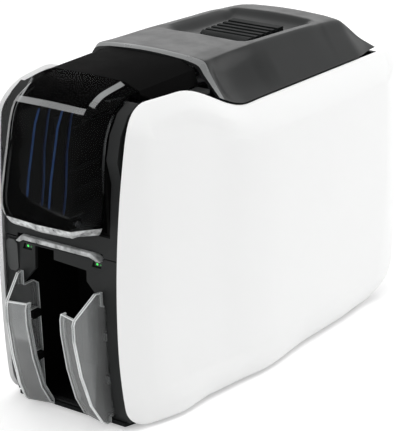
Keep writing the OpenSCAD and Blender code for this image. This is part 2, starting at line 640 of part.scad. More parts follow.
// Ribbed press plate in the dish of the cover
module release_button() {
  y0 = release_front_y;
  y1 = y0 + release_len;
  top_front = grip_z - 2.6;
  top_rear = grip_z - 4.6;
  pitch = (release_len - 14) / release_grooves;
  color("#2a2c2c") difference() {
    intersection() {
      across(-release_half_w, release_half_w) polygon([[y0, top_front - 5], [y0 + 2, top_front - 1.4],
        [y0 + 8, top_front], [y1, top_rear + 1.6], [y1, release_under_z + 0.4], [y0, release_under_z + 0.4]]);
      translate([0, 0, release_under_z - 1]) linear_extrude(20) polygon([
        [8 - release_half_w, y0], [release_half_w - 8, y0], [release_half_w - 2, y0 + 4],
        [release_half_w, y0 + 10], [release_half_w, y1], [-release_half_w, y1],
        [-release_half_w, y0 + 10], [2 - release_half_w, y0 + 4]]);
    }
    for (i = [0:release_grooves - 1]) bar_x(y0 + 12 + i * pitch,
        top_front + 1.2 - 0.04 * (5 + i * pitch), 2, -100, 100);
  }
  color("#2a2c2c") {
    // Flange that stops under the cover, and the stem that presses the latch
    span([-release_half_w - 2, y0 + 0.5, release_under_z], [release_half_w + 2, y1 - 0.5,
        release_under_z + 1.8]);
    span([-4, latch_reach - 8, latch_pivot[1] - 0.3], [4, latch_reach - 3, release_under_z + 0.1]);
  }
}
latch_pivot = [0, grip_z - 15];
latch_reach = 50;
latch_x = -44;
latch_room = 10;
latch_edge_y = 4.4;
latch_pin_r = 1.5;
module release_spring() {
  color("silver") translate([0, strap_y, strap_z]) coil(release_under_z - strap_z, 4, 0.5, 4);
}
release_under_z = grip_z - 11.6;
strap_y = 66;
spring_block = 4.3;
strap_z = release_under_z - release_travel - spring_block;
module cover_latch() {
  color("#9a9d9c") difference() {
    union() {
      // Hook arm on its pivot
      across(latch_x - 2, latch_x + 2) union() {
        polygon([[-3, 202], [0.6, 202], [2.9, 203.6], [2.9, 205], [1.2, 205.3], [1.2, latch_pivot[1]],
          [-3, latch_pivot[1]]]);
        translate(latch_pivot) circle(r = 4.4);
      }
      // Crossbar to the middle of the cover
      span([latch_x - 2, -1.5, latch_pivot[1] - 4.4], [8, 3.5, latch_pivot[1] - 0.6]);
      span([-8, 3, latch_pivot[1] - 4.4], [8, latch_reach - 2, latch_pivot[1] - 0.6]);
    }
    bar_x(latch_pivot[0], latch_pivot[1], latch_pin_r + run_clear, -80, 30);
  }
}
module latch_pin() {
  color("silver") bar_x(latch_pivot[0], latch_pivot[1], latch_pin_r, latch_x - 5, 12);
}
cover_pivot = [157, 206.5];
cover_pin_r = 2.5;
cover_ear_x = 46;
module cover_hinge_pins() {
  color("silver") for (side = [-1, 1])
    bar_x(cover_pivot[0], cover_pivot[1], cover_pin_r, side * (cover_ear_x - 2) - 3.6,
        side * (cover_ear_x - 2) + 3.6);
}
module cover_hinge_arms() {
  color("#3c3f3e") difference() {
    union() {
      for (side = [-1, 1]) translate([side * (cover_ear_x - 3.4), 0, 0]) across(-1.5, 1.5) union() {
        polygon([[118, grip_z - 3], [132, grip_z - 5], [141, grip_z - 11], [152, grip_z - 22.5],
          cover_pivot + [4, 2], cover_pivot + [0, -4], cover_pivot + [-4, 0], [140, grip_z - 22], [122,
              grip_z - 12]]);
        translate(cover_pivot) circle(r = 4);
      }
      // Hangers of the latch pin
      for (x = [latch_x - 4.6, 9]) across(x, x + 2)
        polygon([[-4, latch_pivot[1] - 3], [4, latch_pivot[1] - 3], [4, lip_z - 4], [-4, lip_z - 4]]);
      // Strap under the release button for its spring
      span([-release_half_w - 6, strap_y - 5, strap_z - 2], [release_half_w + 6, strap_y + 5, strap_z]);
      for (x = [-release_half_w - 6, release_half_w + 3.4]) span([x, strap_y - 5, strap_z - 2],
        [x + 2.6, strap_y + 5, grip_z - 5]);
    }
    bar_x(cover_pivot[0], cover_pivot[1], cover_pin_r + run_clear, -80, 80);
    bar_x(latch_pivot[0], latch_pivot[1], latch_pin_r, -80, 80);
    shell_between([for (r = cover_stack) reversed(mirrored_row(cover_half_row(r, 0)))],
      [for (r = cover_stack) reversed(mirrored_row(cover_half_row(r, wall)))]);
  }
}

// ---- card hopper ----
hopper_half_w = 42.5;
hopper_wall = 2.5;
hopper_front_y = frame_face(door_low_z) + frame_t + 0.12;
card_front_y = -148;
hopper_rear_y = card_front_y + card_len + 0.4;
hopper_floor_z = 146;
hopper_top_z = 229;
hopper_lean_z = 213;
hopper_lean = 8.2;
lean_slope = (hopper_top_z - hopper_lean_z) / hopper_lean;
card_low_z = hopper_floor_z + 4;
lower_card_z = card_low_z - lift_travel;
slot_w = 4;
rod_y = -69;
rod_z = 217.5;
rod_r = 2.5;
module card_hopper() {
  color("#151616") difference() {
    union() {
      span([-hopper_half_w, hopper_front_y, hopper_floor_z], [hopper_half_w, hopper_rear_y,
          hopper_floor_z + 3]);
      for (x = [-hopper_half_w, hopper_half_w - hopper_wall])
        span([x, hopper_front_y, hopper_floor_z], [x + hopper_wall, hopper_rear_y, hopper_top_z]);
      span([-hopper_half_w, hopper_rear_y - hopper_wall, hopper_floor_z], [hopper_half_w,
          hopper_rear_y, hopper_top_z]);
      // Bearing shelf over the feed roller
      span([-hopper_half_w, roller_y[0] - 9, deck_z], [roller_x + 6, roller_y[0] + 9, deck_z + 3]);
      // Round boss and ribs on the inner wall
      span([hopper_half_w - hopper_wall - 1, -128, 206], [hopper_half_w, -124, 228]);
      translate([hopper_half_w - hopper_wall - 1, -112, 208]) rotate([0, 90, 0]) cylinder(r = 6, h = 2);
    }
    // Upper front corners that lean back with the door
    across(-hopper_half_w - 1, hopper_half_w + 1) polygon([
      [hopper_front_y - 1, hopper_lean_z - lean_slope], [hopper_front_y - 1, hopper_top_z + lean_slope],
      [hopper_front_y + hopper_lean + 1, hopper_top_z + lean_slope]]);
    // Card slot to the print line
    span([path_x - slot_w / 2, hopper_rear_y - 10, card_low_z - 0.5],
      [path_x + slot_w / 2, hopper_rear_y + 10, card_low_z + card_h + 2]);
    bar_x(rod_y, rod_z, rod_r + run_clear, -100, 100);
    post(roller_x, roller_y[0], shaft_r + run_clear, 100, 250);
    // Square pockets in the inner wall
    for (i = [0:2]) for (j = [0:1]) translate([hopper_half_w - hopper_wall - 0.1,
        -139 + 13 * i + 6.5 * j, 214 - 13 * j])
      cube([1, 6, 11]);
  }
}
pusher_x = path_x + 3;
module card_pusher() {
  color("#26292a") difference() {
    union() {
      span([pusher_x, -140, card_low_z + 1], [pusher_x + 3, rod_y - 5, card_low_z + 60]);
      span([pusher_x, -136, card_low_z + 50], [pusher_x + 8, -130, card_low_z + 72]);
      span([pusher_x, rod_y - 5, rod_z - 12], [pusher_x + 10, rod_y + 4, rod_z + 5]);
      for (z = [card_low_z + 12, card_low_z + 28]) span([pusher_x + 2, -134, z], [pusher_x + 5,
          rod_y - 9, z + 3]);
    }
    bar_x(rod_y, rod_z, rod_r + run_clear, -100, 100);
  }
}
module pusher_rod() { color("silver") bar_x(rod_y, rod_z, rod_r, -hopper_half_w, hopper_half_w); }
module pusher_spring() {
  color("silver") translate([pusher_x + 10.1, rod_y, rod_z]) rotate([0, 90, 0])
    coil(hopper_half_w - hopper_wall - pusher_x - 10.2, rod_r + 1, 0.35, 9);
}

// ---- output hopper ----
bin_half_w = 37.5;
bin_wall = 2;
output_front_y = -176.6;
bin_rear_y = output_front_y + card_len + bin_wall;
bin_front_y = -150;
bin_top_z = 127;
module output_bin() {
  color("#151616") difference() {
    union() {
      span([-bin_half_w - 5, bin_front_y + 3.4, floor_z], [bin_half_w + 5, bin_rear_y, floor_z + 2]);
      for (x = [-bin_half_w - 5, bin_half_w + 5 - bin_wall])
        span([x, bin_front_y + 4.4, floor_z], [x + bin_wall, bin_rear_y, bin_top_z]);
      span([-bin_half_w - 5, bin_rear_y - bin_wall, floor_z], [bin_half_w + 5, bin_rear_y, bin_top_z]);
      span([-bin_half_w - 5, bin_front_y + 4.4, bin_top_z - bin_wall], [bin_half_w + 5, bin_rear_y,
          bin_top_z]);
      for (z = [40, 80]) span([4, bin_rear_y - bin_wall - 1.5, z - 9], [6, bin_rear_y, z + 9]);
    }
    span([path_x - slot_w / 2, bin_rear_y - 10, lower_card_z - 1],
      [path_x + slot_w / 2, bin_rear_y + 10, lower_card_z + card_h + 1]);
  }
}

// Clear wings: a side wall and a front wall that holds the ends of the cards
wing_low_z = base_z + 1;
wing_rear_y = -139;
wing_front = [[-160.5, wing_z], [-178.6, 92], [-180, 88], [-180, 76], [-176, 48], [-169, 22], [-161,
    7], [-157, wing_low_z]];
wing_tuck_y = -157;
wing_tip_y = -180;
wing_stop_y = -152.6;
wing_room_z = 120;
flange_t = 1.6;
wing_shelf_z = 95.6;
flange_depth = 2.5;
function wing_side_x(y) = wing_half_w
  - wing_tuck * max(0, (wing_tuck_y - y) / (wing_tuck_y - wing_tip_y));
// Front wall of the right wing, t thick, between the plan lines x0 and the side wall or x1
module wing_front_wall(t, x0, x1) {
  face = [for (i = [1:len(wing_front) - 1]) wing_front[i]];
  tip = wing_side_x(wing_tip_y);
  intersection() {
    translate([tip, wing_tip_y, 0]) rotate([0, 0, -wing_slant]) translate([0, -wing_tip_y, 0])
      across(-tip, 20) polygon(concat(face, [for (p = reversed(face)) [p[0] + t, p[1] - 0.4]]));
    linear_extrude(wing_room_z) polygon(concat([[x0, wing_stop_y], [x0, wing_tip_y - 10]],
      [for (y = [wing_tip_y - 10, wing_tuck_y, wing_stop_y]) [min(x1, wing_side_x(y) - wing_wall / 2), y]]));
  }
}
module wing() {
  outline = concat(wing_front, [[-152.4, wing_low_z], [-152.4, 8.3], [wing_rear_y, 8.3],
    [wing_rear_y, 92], [-144, wing_shelf_z], [-154.4, wing_shelf_z], [-154.4, wing_z]]);
  line = [wing_rear_y + 1, wing_tuck_y, wing_tip_y - 1];
  difference() {
    union() {
      intersection() {
        across(0, wing_half_w + 1) polygon(outline);
        linear_extrude(wing_room_z) polygon(concat([for (y = line) [wing_side_x(y), y]],
          [for (y = reversed(line)) [wing_side_x(y) - wing_wall, y]]));
      }
      wing_front_wall(wing_wall, wing_gap_half_w, wing_half_w);
      // Turned-in flange along the inner edge of the front wall
      wing_front_wall(wing_wall + flange_depth, wing_gap_half_w, wing_gap_half_w + flange_t);
    }
    // Slots for the two clips
    for (z = clip_z) span([wing_half_w - 5, -150, z - 3], [wing_half_w + 3, -142, z + 3]);
  }
}
clip_z = [36, 70];
module left_output_wing() { color("lightcyan", 0.35) mirror([1, 0, 0]) wing(); }
module right_output_wing() { color("lightcyan", 0.35) wing(); }
clip_x = wing_half_w - 1.9;
module wing_clips() {
  color("#222425") for (side = [-1, 1]) for (z = clip_z)
    span([side * clip_x - 3.5, -150, z - 3], [side * clip_x + 3.5, -142, z + 3]);
}

// ---- decks and roller bearings ----
lower_deck_z = 146;
deck_z = 206;
deck_t = 3;
deck_half_w = case_half_w - 13;
upper_half_w = case_half_w - 16;
skirt_x = upper_half_w - 1.3;
deck_front_y = -44;
deck_rear_y = 138;
roller_x = path_x - roller_r - 0.3;
pinch_x = path_x + roller_r + 0.3;
feed_y = -79;
cleaning_y = -10;
platen_y = 30;
last_y = 74;
roller_y = [feed_y, cleaning_y, platen_y, last_y];
pinch_y = [feed_y, cleaning_y, last_y];
lift_front_y = 85;
lift_rear_y = 160;
supply = [30, 4];
takeup = [30, 57];
head_pivot = [0, 45];
head_pin_r = 2.5;
module bearing_holes(list_x, list_y) {
  for (y = list_y) post(list_x, y, shaft_r + run_clear, -10, 400);
}
module lower_deck() {
  color("gray") difference() {
    union() {
      span([-deck_half_w, hopper_rear_y, lower_deck_z], [deck_half_w, lift_front_y - 1,
          lower_deck_z + deck_t]);
      for (x = [-deck_half_w, -2]) span([x, lift_front_y - 1.1, lower_deck_z],
        [x < -10 ? -44 : deck_half_w, deck_rear_y, lower_deck_z + deck_t]);
      post(head_pivot[0], head_pivot[1], head_pin_r, lower_deck_z, 200);
    }
    bearing_holes(roller_x, [cleaning_y, platen_y, last_y]);
    bearing_holes(pinch_x, [cleaning_y, last_y]);
  }
}
module upper_deck() {
  color("gray") difference() {
    union() {
      span([-upper_half_w, deck_front_y, deck_z], [upper_half_w, deck_rear_y, deck_z + deck_t]);
      for (side = [-1, 1]) {
        // Skirts that stand on the frame plates
        span([side * skirt_x - 1.3, deck_front_y + 14, plate_high_z],
          [side * skirt_x + 1.3, deck_rear_y, deck_z + 1]);
        // Ears of the cover hinge
        translate([side * cover_ear_x, 0, 0]) across(-1.5, 1.5) union() {
          polygon([[deck_rear_y - 2, deck_z - 6], [deck_rear_y - 2, deck_z + deck_t],
            [148, deck_z + deck_t], cover_pivot + [0, 4], cover_pivot + [0, -4],
            [deck_rear_y + 6, deck_z - 6]]);
          translate(cover_pivot) circle(r = 4);
        }
      }
    }
    for (side = [-1, 1])
      bar_x(cover_pivot[0], cover_pivot[1], cover_pin_r, side * cover_ear_x - 3, side * cover_ear_x + 3);
    bearing_holes(roller_x, [cleaning_y, platen_y, last_y]);
    bearing_holes(pinch_x, [cleaning_y, last_y]);
    // Well for the ribbon cartridge
    span([5, -20, deck_z - 5], [54, 84, deck_z + 10]);
    span([-16, 1.5, deck_z - 5], [6, 62, deck_z + 10]);
    // Notch for the cover latch, and bores that hold the lift rods
    span([latch_x - latch_room, deck_front_y - 1, deck_z - 5],
      [latch_x + latch_room, latch_edge_y, deck_z + 10]);
    for (y = lift_rod_y) post(lift_rod_x, y, shaft_r, deck_z - 5, deck_z + 10);
  }
}
bracket_z = 58;
module roller_bracket() {
  color("gray") difference() {
    union() {
      span([-40, feed_y - 5.7, bracket_z], [4, lift_front_y - 1, bracket_z + 3]);
      for (p = [[-38, feed_y + 6], [2, feed_y + 6], [-38, lift_front_y - 3], [2, lift_front_y - 3],
          [-38, 0], [2, 0]])
        span([p[0] - 2, p[1] - 2, floor_z], [p[0] + 2, p[1] + 2, bracket_z + 1]);
    }
    bearing_holes(roller_x, roller_y);
    bearing_holes(pinch_x, pinch_y);
  }
}
belt_z = 133;
pulley_r = 7.6;
belt_h = 5;
gear_z = 139.5;
gear_h = 5;

// A shaft from z0 to z1 with rubber sleeves on the chosen levels
module roller(x, y, z0, z1, upper, lower) {
  post(x, y, shaft_r, z0, z1);
  if (upper) post(x, y, roller_r, card_low_z + 3, card_low_z + card_h - 1);
  if (lower) post(x, y, roller_r, lower_card_z + 3, lower_card_z + card_h - 1);
}
module driven_roller(y, upper, lower, top) {
  roller(roller_x, y, bracket_z, top, upper, lower);
  post(roller_x, y, pulley_r, belt_z, belt_z + belt_h);
}
module feed_roller() { color("#4a4d4c") driven_roller(feed_y, true, true, deck_z + 4); }
module cleaning_roller() { color("#c8b070") driven_roller(cleaning_y, true, true, deck_z + 4); }
module platen_roller() {
  color("#2c2c2c") {
    driven_roller(platen_y, true, false, deck_z + 4);
    translate([roller_x, platen_y, gear_z]) gear(platen_teeth, 0);
  }
}
module rear_roller() { color("#4a4d4c") driven_roller(last_y, true, true, deck_z + 4); }
module front_pinch_roller() {
  color("#8a8d8c") roller(pinch_x, feed_y, bracket_z, lower_card_z + card_h + 5, false, true);
}
module middle_pinch_roller() {
  color("#8a8d8c") roller(pinch_x, cleaning_y, bracket_z, deck_z + 4, true, true);
}
module rear_pinch_roller() {
  color("#8a8d8c") roller(pinch_x, last_y, bracket_z, deck_z + 4, true, true);
}

// Spur gear with straight-sided teeth, drawn solid, with a tooth or a gap on +X
module gear(teeth, turn) {
  pitch_r = gear_module * teeth / 2;
  step = 360 / teeth;
  tip = pitch_r + gear_module * 0.9;
  root = pitch_r - gear_module * 1.15;
  points = [for (i = [0:teeth - 1]) for (q = [[-0.26, root], [-0.13, tip], [0.13, tip], [0.26, root]])
    let (a = i * step + q[0] * step * 0.94 + turn) [q[1] * cos(a), q[1] * sin(a)]];
  linear_extrude(gear_h) polygon(points);
}
idler_x = roller_x + gear_module * (platen_teeth + idler_teeth) / 2;
motor_x = idler_x + gear_module * (idler_teeth + pinion_teeth) / 2;
module idler_gear() {
  color("ivory") difference() {
    union() {
      // A gap faces the platen gear
      translate([idler_x, platen_y, gear_z]) gear(idler_teeth, 180 + 180 / idler_teeth);
      post(idler_x, platen_y, 6, gear_z - 3, gear_z + gear_h);
    }
    post(idler_x, platen_y, shaft_r + run_clear, gear_z - 20, gear_z + 20);
  }
}
// The idler's tooth that faces the pinion sets the pinion's phase
idler_phase = 180 + 180 / idler_teeth;
tooth_off = (idler_phase / (360 / idler_teeth)) - floor(idler_phase / (360 / idler_teeth));
pinion_turn = 180 + (tooth_off - 0.5) * 360 / pinion_teeth;
motor_r = 21;
motor_h = 42;
module motor_pinion() {
  color("gold") difference() {
    translate([motor_x, platen_y, gear_z]) gear(pinion_teeth, pinion_turn);
    post(motor_x, platen_y, 2.5 + run_clear, gear_z - 20, gear_z + 20);
  }
}
module drive_motor() {
  color("silver") {
    post(motor_x, platen_y, motor_r, gear_z - 4 - motor_h, gear_z - 4);
    post(motor_x, platen_y, 8, gear_z - 4.5, gear_z - 1.5);
    post(motor_x, platen_y, 2.5, gear_z - 2, gear_z + gear_h);
    post(idler_x, platen_y, shaft_r, gear_z - 6.3, lower_deck_z);
    // Mounting plate under the deck
    span([idler_x - 8, platen_y - 24, gear_z - 6.3], [motor_x + 24, platen_y + 24, gear_z - 4]);
    for (y = [platen_y - 20, platen_y + 20]) post(motor_x + 20, y, 3, gear_z - 5, lower_deck_z);
  }
}
module drive_belt() {
  color("#1a1a1a") translate([0, 0, belt_z + 0.5]) linear_extrude(belt_h - 1) difference() {
    belt_outline(pulley_r + 1.6);
    belt_outline(pulley_r + run_clear);
  }
}
module belt_outline(r) {
  translate([roller_x, feed_y]) circle(r = r);
  translate([roller_x, last_y]) circle(r = r);
  translate([roller_x - r, feed_y]) square([2 * r, last_y - feed_y]);
}

// ---- ribbon cartridge ----
ribbon_low_z = lower_deck_z + deck_t;
ribbon_high_z = deck_z - 2.1;
ribbon_plate_t = 1.8;
spool_low_z = ribbon_low_z + ribbon_plate_t + 0.3;
spool_high_z = ribbon_high_z - 0.3;
film_x = path_x + 2.6;
supply_r = 17;
takeup_r = 10;
ribbon_plate = [[7, -17], [52, -17], [52, 77], [7, 77], [-13.6, 59.5], [-13.6, 51.5], [8, 55], [8, 6],
  [-13.6, 9.5], [-13.6, 4]];
module ribbon_frame() {
  color("#5a5f66") difference() {
    union() {
      for (z = [ribbon_low_z, ribbon_high_z])
        translate([0, 0, z]) linear_extrude(ribbon_plate_t) polygon(ribbon_plate);
      span([50, -17, ribbon_low_z], [52, 77, ribbon_high_z + 1]);
      for (y = [7.4, 53.6]) post(film_x + film_t + 2, y, 2, ribbon_low_z, ribbon_high_z + 1);
      // Lifting handle
      for (y = [18, 42]) span([34, y, ribbon_high_z], [42, y + 3, ribbon_high_z + 12]);
      span([34, 18, ribbon_high_z + 10], [42, 45, ribbon_high_z + 13]);
    }
    for (p = [supply, takeup]) post(p[0], p[1], shaft_r + run_clear, ribbon_low_z - 5, ribbon_high_z + 5);
  }
}
module spool(p, roll_r) {
  post(p[0], p[1], shaft_r, ribbon_low_z + 0.2, ribbon_high_z + ribbon_plate_t + 0.6);
  post(p[0], p[1], roll_r, spool_low_z + 2.5, spool_high_z - 2.5);
  for (z = [spool_low_z, spool_high_z - 1.5]) post(p[0], p[1], roll_r + 2, z, z + 1.5);
}
module supply_spool() { color("#3a5ba0") spool(supply, supply_r); }
module takeup_spool() { color("#a03a6a") spool(takeup, takeup_r); }
film_t = 0.3;
film_path = [[supply[0] - 13.1, supply[1] - 11.65], [film_x + 1.5, 3.8], [film_x, 6.5], [film_x, 54.5],
  [film_x + 1.5, 57.4], [takeup[0] - 3.2, takeup[1] + 10]];
module ribbon_film() {
  color("#b0a030", 0.8) translate([0, 0, spool_low_z + 4]) linear_extrude(spool_high_z - spool_low_z - 8)
    polygon(concat(film_path, [for (p = reversed(film_path)) [p[0] + film_t,
        p[1] + (p[1] < 30 ? film_t : -film_t)]]));
}
head_face_x = film_x + film_t + 0.4;
module printhead() {
  color("#b8bcc0") {
    span([head_face_x + 1.2, platen_y - 7, card_low_z + 2], [head_face_x + 6, platen_y + 7,
        card_low_z + card_h]);
    span([head_face_x, platen_y - 2.5, card_low_z + 2], [head_face_x + 1.3, platen_y + 2.5,
        card_low_z + card_h]);
  }
}
module printhead_arm() {
  color("#6d7173") difference() {
    union() {
      span([head_face_x + 6, platen_y - 9, 160], [head_face_x + 9.5, head_pivot[1] + 4, 195]);
      post(head_pivot[0], head_pivot[1], 5.5, 160, 195);
    }
    post(head_pivot[0], head_pivot[1], head_pin_r + run_clear, 150, 210);
  }
}

// ---- card lift at the rear ----
lift_rod_x = -38;
lift_rod_y = [98, 126];
module card_lift() {
  color("#e0e2e2") difference() {
    union() {
      for (x = [path_x - 3.4, path_x + 1.6])
        span([x, lift_front_y, card_low_z + 1], [x + 1.8, lift_rear_y, card_low_z + card_h - 3]);
      span([path_x - 3.4, lift_front_y, card_low_z - 1.5], [path_x + 3.4, lift_rear_y, card_low_z + 1.2]);
      for (y = lift_rod_y) for (z = [card_low_z + 2, card_low_z + 42])
        span([lift_rod_x - 5, y - 5, z], [path_x - 3.3, y + 5, z + 8]);
    }
    for (y = lift_rod_y) post(lift_rod_x, y, shaft_r + run_clear, 0, 300);
  }
}
module lift_rods() {
  color("silver") for (y = lift_rod_y) {
    post(lift_rod_x, y, shaft_r, floor_z, deck_z + 5);
    post(lift_rod_x, y, 6, floor_z, floor_z + 4);
  }
}

// ---- electronics ----
board_z = 20;
board_t = 1.6;
module main_board() {
  color("darkgreen") {
    span([10, 40, board_z], [57.6, 152, board_z + board_t]);
    for (x = [14, 53]) for (y = [44, 124]) post(x, y, 2.5, floor_z, board_z);
  }
  color("#222222") {
    span([20, 60, board_z + board_t], [36, 76, board_z + board_t + 2]);
    span([42, 84, board_z + board_t], [54, 96, board_z + board_t + 2]);
    for (i = [0:3]) post(18 + i * 9, 108, 3.5, board_z + board_t, board_z + board_t + 9);
  }
}
module power_inlet() {
  color("#181818") difference() {
    union() {
      span([inlet_x - inlet_half_w, 136, board_z + board_t],
        [inlet_x + inlet_half_w, socket_front_y + 2, socket_z + socket_half_h]);
      span([inlet_x - inlet_half_w, socket_front_y, socket_z - socket_half_h],
        [inlet_x + inlet_half_w, socket_rear_y, socket_z + socket_half_h]);
    }
    translate([inlet_x, 148, socket_z]) rotate([-90, 0, 0]) cylinder(r = 3, h = 20);
  }
}
module usb_socket() {
  color("silver") difference() {
    union() {
      span([usb_x - usb_half_w, 138, board_z + board_t],
        [usb_x + usb_half_w, socket_front_y + 2, socket_z + socket_half_h]);
      span([usb_x - usb_half_w, socket_front_y, socket_z - socket_half_h],
        [usb_x + usb_half_w, socket_rear_y, socket_z + socket_half_h]);
    }
    span([usb_x - 4.4, 148, socket_z - 4], [usb_x + 4.4, 170, socket_z + 4]);
  }
}

base_tray();
left_side_panel();
right_side_panel();
front_bezel();
lower_front_panel();
rear_panel();
left_frame_plate();
right_frame_plate();
rubber_feet();
housing_screws();
top_cover();
cover_hinge_arms();
cover_hinge_pins();
release_button();
release_spring();
cover_latch();
latch_pin();
hopper_door();
door_cap();
door_guides();
door_lugs();
door_hinge_pins();
card_hopper();
card_pusher();
pusher_rod();
pusher_spring();
light_bar();
indicator_lights();
power_button();
power_button_spring();
output_bin();
left_output_wing();
right_output_wing();
wing_clips();
lower_deck();
upper_deck();
roller_bracket();
feed_roller();
cleaning_roller();
platen_roller();
rear_roller();
front_pinch_roller();
middle_pinch_roller();
rear_pinch_roller();
drive_motor();
motor_pinion();
idler_gear();
drive_belt();
ribbon_frame();
supply_spool();
takeup_spool();
ribbon_film();
printhead();
printhead_arm();
card_lift();
lift_rods();
main_board();
power_inlet();
usb_socket();
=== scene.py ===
import json
import math

import bmesh
import bpy
from mathutils import Matrix, Vector

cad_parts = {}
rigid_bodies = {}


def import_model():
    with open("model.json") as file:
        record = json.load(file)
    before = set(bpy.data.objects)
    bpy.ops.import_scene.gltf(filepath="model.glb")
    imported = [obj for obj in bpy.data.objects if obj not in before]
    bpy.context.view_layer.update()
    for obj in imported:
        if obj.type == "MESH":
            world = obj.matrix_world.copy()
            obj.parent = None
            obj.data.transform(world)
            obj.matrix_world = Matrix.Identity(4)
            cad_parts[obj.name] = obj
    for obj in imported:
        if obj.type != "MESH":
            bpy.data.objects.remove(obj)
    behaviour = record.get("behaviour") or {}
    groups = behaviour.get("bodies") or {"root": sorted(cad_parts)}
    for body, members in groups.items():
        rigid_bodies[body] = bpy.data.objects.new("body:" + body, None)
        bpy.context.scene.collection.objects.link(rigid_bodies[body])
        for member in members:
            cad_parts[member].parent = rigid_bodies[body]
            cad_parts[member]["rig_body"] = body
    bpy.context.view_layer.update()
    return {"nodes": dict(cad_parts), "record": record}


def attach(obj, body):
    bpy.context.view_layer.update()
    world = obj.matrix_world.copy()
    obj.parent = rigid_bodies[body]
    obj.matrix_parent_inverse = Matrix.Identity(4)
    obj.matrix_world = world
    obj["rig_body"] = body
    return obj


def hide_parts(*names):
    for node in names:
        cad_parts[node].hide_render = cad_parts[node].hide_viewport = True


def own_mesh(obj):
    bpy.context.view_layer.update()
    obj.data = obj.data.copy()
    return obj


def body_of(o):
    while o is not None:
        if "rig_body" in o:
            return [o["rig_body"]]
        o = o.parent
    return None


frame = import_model()
nodes = frame["nodes"]
MM = 0.001

# ---- driving sizes of the case in millimetres, each the same as in the solids ----
CASE_HALF_W = 79.0
FRONT_HALF_W = 55.0
HUMP_Z = 242.0
RAIL_Z = 213.0
LIP_Z = 253.0
GRIP_Z = 243.0
SHOULDER_HALF_W = 48.0
WALL = 2.5
SEAM = 0.8
BASE_Z = 3.0
FRONT_Y = -160.0
REAR_Y = 180.0
TAPER_Y = -40.0
ROLL_WIDTH = 27.0
CREASE = 0.35
LEAST_CORNER = 3.0
CORNERS = {"front_bottom": 18.0, "rear_bottom": 34.0, "rear_top": 16.0, "front_top": 24.0}


def step(v, a, b):
    """Smooth step from 0 to 1 over the stretch a to b."""
    t = min(1.0, max(0.0, (v - a) / (b - a)))
    return t * t * (3 - 2 * t)


def plan_half_w(y):
    """Half the width of the case at a place along its depth."""
    front = (CASE_HALF_W - FRONT_HALF_W - 4) * max(0.0, (TAPER_Y - y) / (TAPER_Y - FRONT_Y)) ** 1.9
    return CASE_HALF_W - front - 5 * max(0.0, (y - 150) / 30) ** 2


def panel_top(y):
    """Height of the side panels' upper border, from the hump down to the rail."""
    return HUMP_Z - (HUMP_Z - RAIL_Z) * step(y, -92, -12) - 4 * max(0.0, y) / REAR_Y


def panel_front(z):
    """Front border of the side panels at a height."""
    return FRONT_Y + 13 * max(0.0, (z - 70) / 145) ** 2 + 6 * max(0.0, (70 - z) / 70) ** 2


def panel_rear(z):
    """Rear border of the side panels at a height."""
    return REAR_Y - 0.001 * max(0.0, 150 - z) ** 2


# ---- mesh helpers ----
POINT_WELD = 1e-6
NODE_WELD = 2e-6
SHARP_DEG = 32
NODE_SHARP_DEG = 40


def link(name, mesh):
    """A new object in the scene."""
    piece = bpy.data.objects.new(name, mesh)
    bpy.context.scene.collection.objects.link(piece)
    return piece


def mesh_of(name, points, faces):
    """A mesh from points in millimetres."""
    mesh = bpy.data.meshes.new(name)
    mesh.from_pydata([tuple(c * MM for c in p) for p in points], [], faces)
    return mesh


def opened(mesh, weld=NODE_WELD):
    """A mesh opened for editing, with the points that lie together made one."""
    bm = bmesh.new()
    bm.from_mesh(mesh)
    bmesh.ops.remove_doubles(bm, verts=bm.verts, dist=weld)
    return bm


def shade(mesh, sharp_deg):
    """Shades a mesh smooth between the edges sharper than an angle."""
    for poly in mesh.polygons:
        poly.use_smooth = True
    mesh.set_sharp_from_angle(angle=math.radians(sharp_deg))


def close(bm, mesh, sharp_deg):
    """Writes an edited mesh back and shades it."""
    bm.to_mesh(mesh)
    bm.free()
    shade(mesh, sharp_deg)


def build(name, points, faces, sharp_deg=SHARP_DEG, marks=None):
    """A smooth-shaded object from points in millimetres."""
    mesh = mesh_of(name, points, faces)
    if marks:
        mesh.polygons.foreach_set("material_index", marks)
    bm = opened(mesh, POINT_WELD)
    bmesh.ops.recalc_face_normals(bm, faces=bm.faces)
    close(bm, mesh, sharp_deg)
    return link(name, mesh)


def dress(piece, body, slot, material, *replaced):
    """Gives a piece its finish and its body, and hides the CAD nodes that it stands for."""
    if len(piece.data.materials) > 1:
        piece.data.materials[0] = material
    else:
        piece.data.materials.clear()
        piece.data.materials.append(material)
    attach(piece, body)
    if replaced:
        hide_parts(*replaced)


def slopes(knots, values):
    """Slopes of a curve through the values that never overshoots them."""
    n = len(knots)
    d = [(values[i + 1] - values[i]) / (knots[i + 1] - knots[i]) for i in range(n - 1)]
    m = [d[0]]
    for i in range(1, n - 1):
        m.append(0.0 if d[i - 1] * d[i] <= 0 else 2 * d[i - 1] * d[i] / (d[i - 1] + d[i]))
    m.append(d[-1])
    return m


def curve(knots, values):
    """A smooth function through the values at the knots."""
    m = slopes(knots, values)

    def at(x):
        i = 0
        while i < len(knots) - 2 and x > knots[i + 1]:
            i += 1
        h = knots[i + 1] - knots[i]
        t = (x - knots[i]) / h
        return (
            values[i] * (1 + 2 * t) * (1 - t) ** 2
            + m[i] * h * t * (1 - t) ** 2
            + values[i + 1] * t * t * (3 - 2 * t)
            + m[i + 1] * h * t * t * (t - 1)
        )

    return at


def smooth_line(points, per_span):
    """Points along a smooth curve through the given points."""
    knots = [0.0]
    for a, b in zip(points, points[1:]):
        knots.append(knots[-1] + max(1e-3, math.dist(a, b)))
    axes = [curve(knots, [p[k] for p in points]) for k in range(3)]
    line = []
    for i in range(len(points) - 1):
        for j in range(per_span):
            x = knots[i] + (knots[i + 1] - knots[i]) * j / per_span
            line.append(tuple(axis(x) for axis in axes))
    line.append(tuple(points[-1]))
    return line


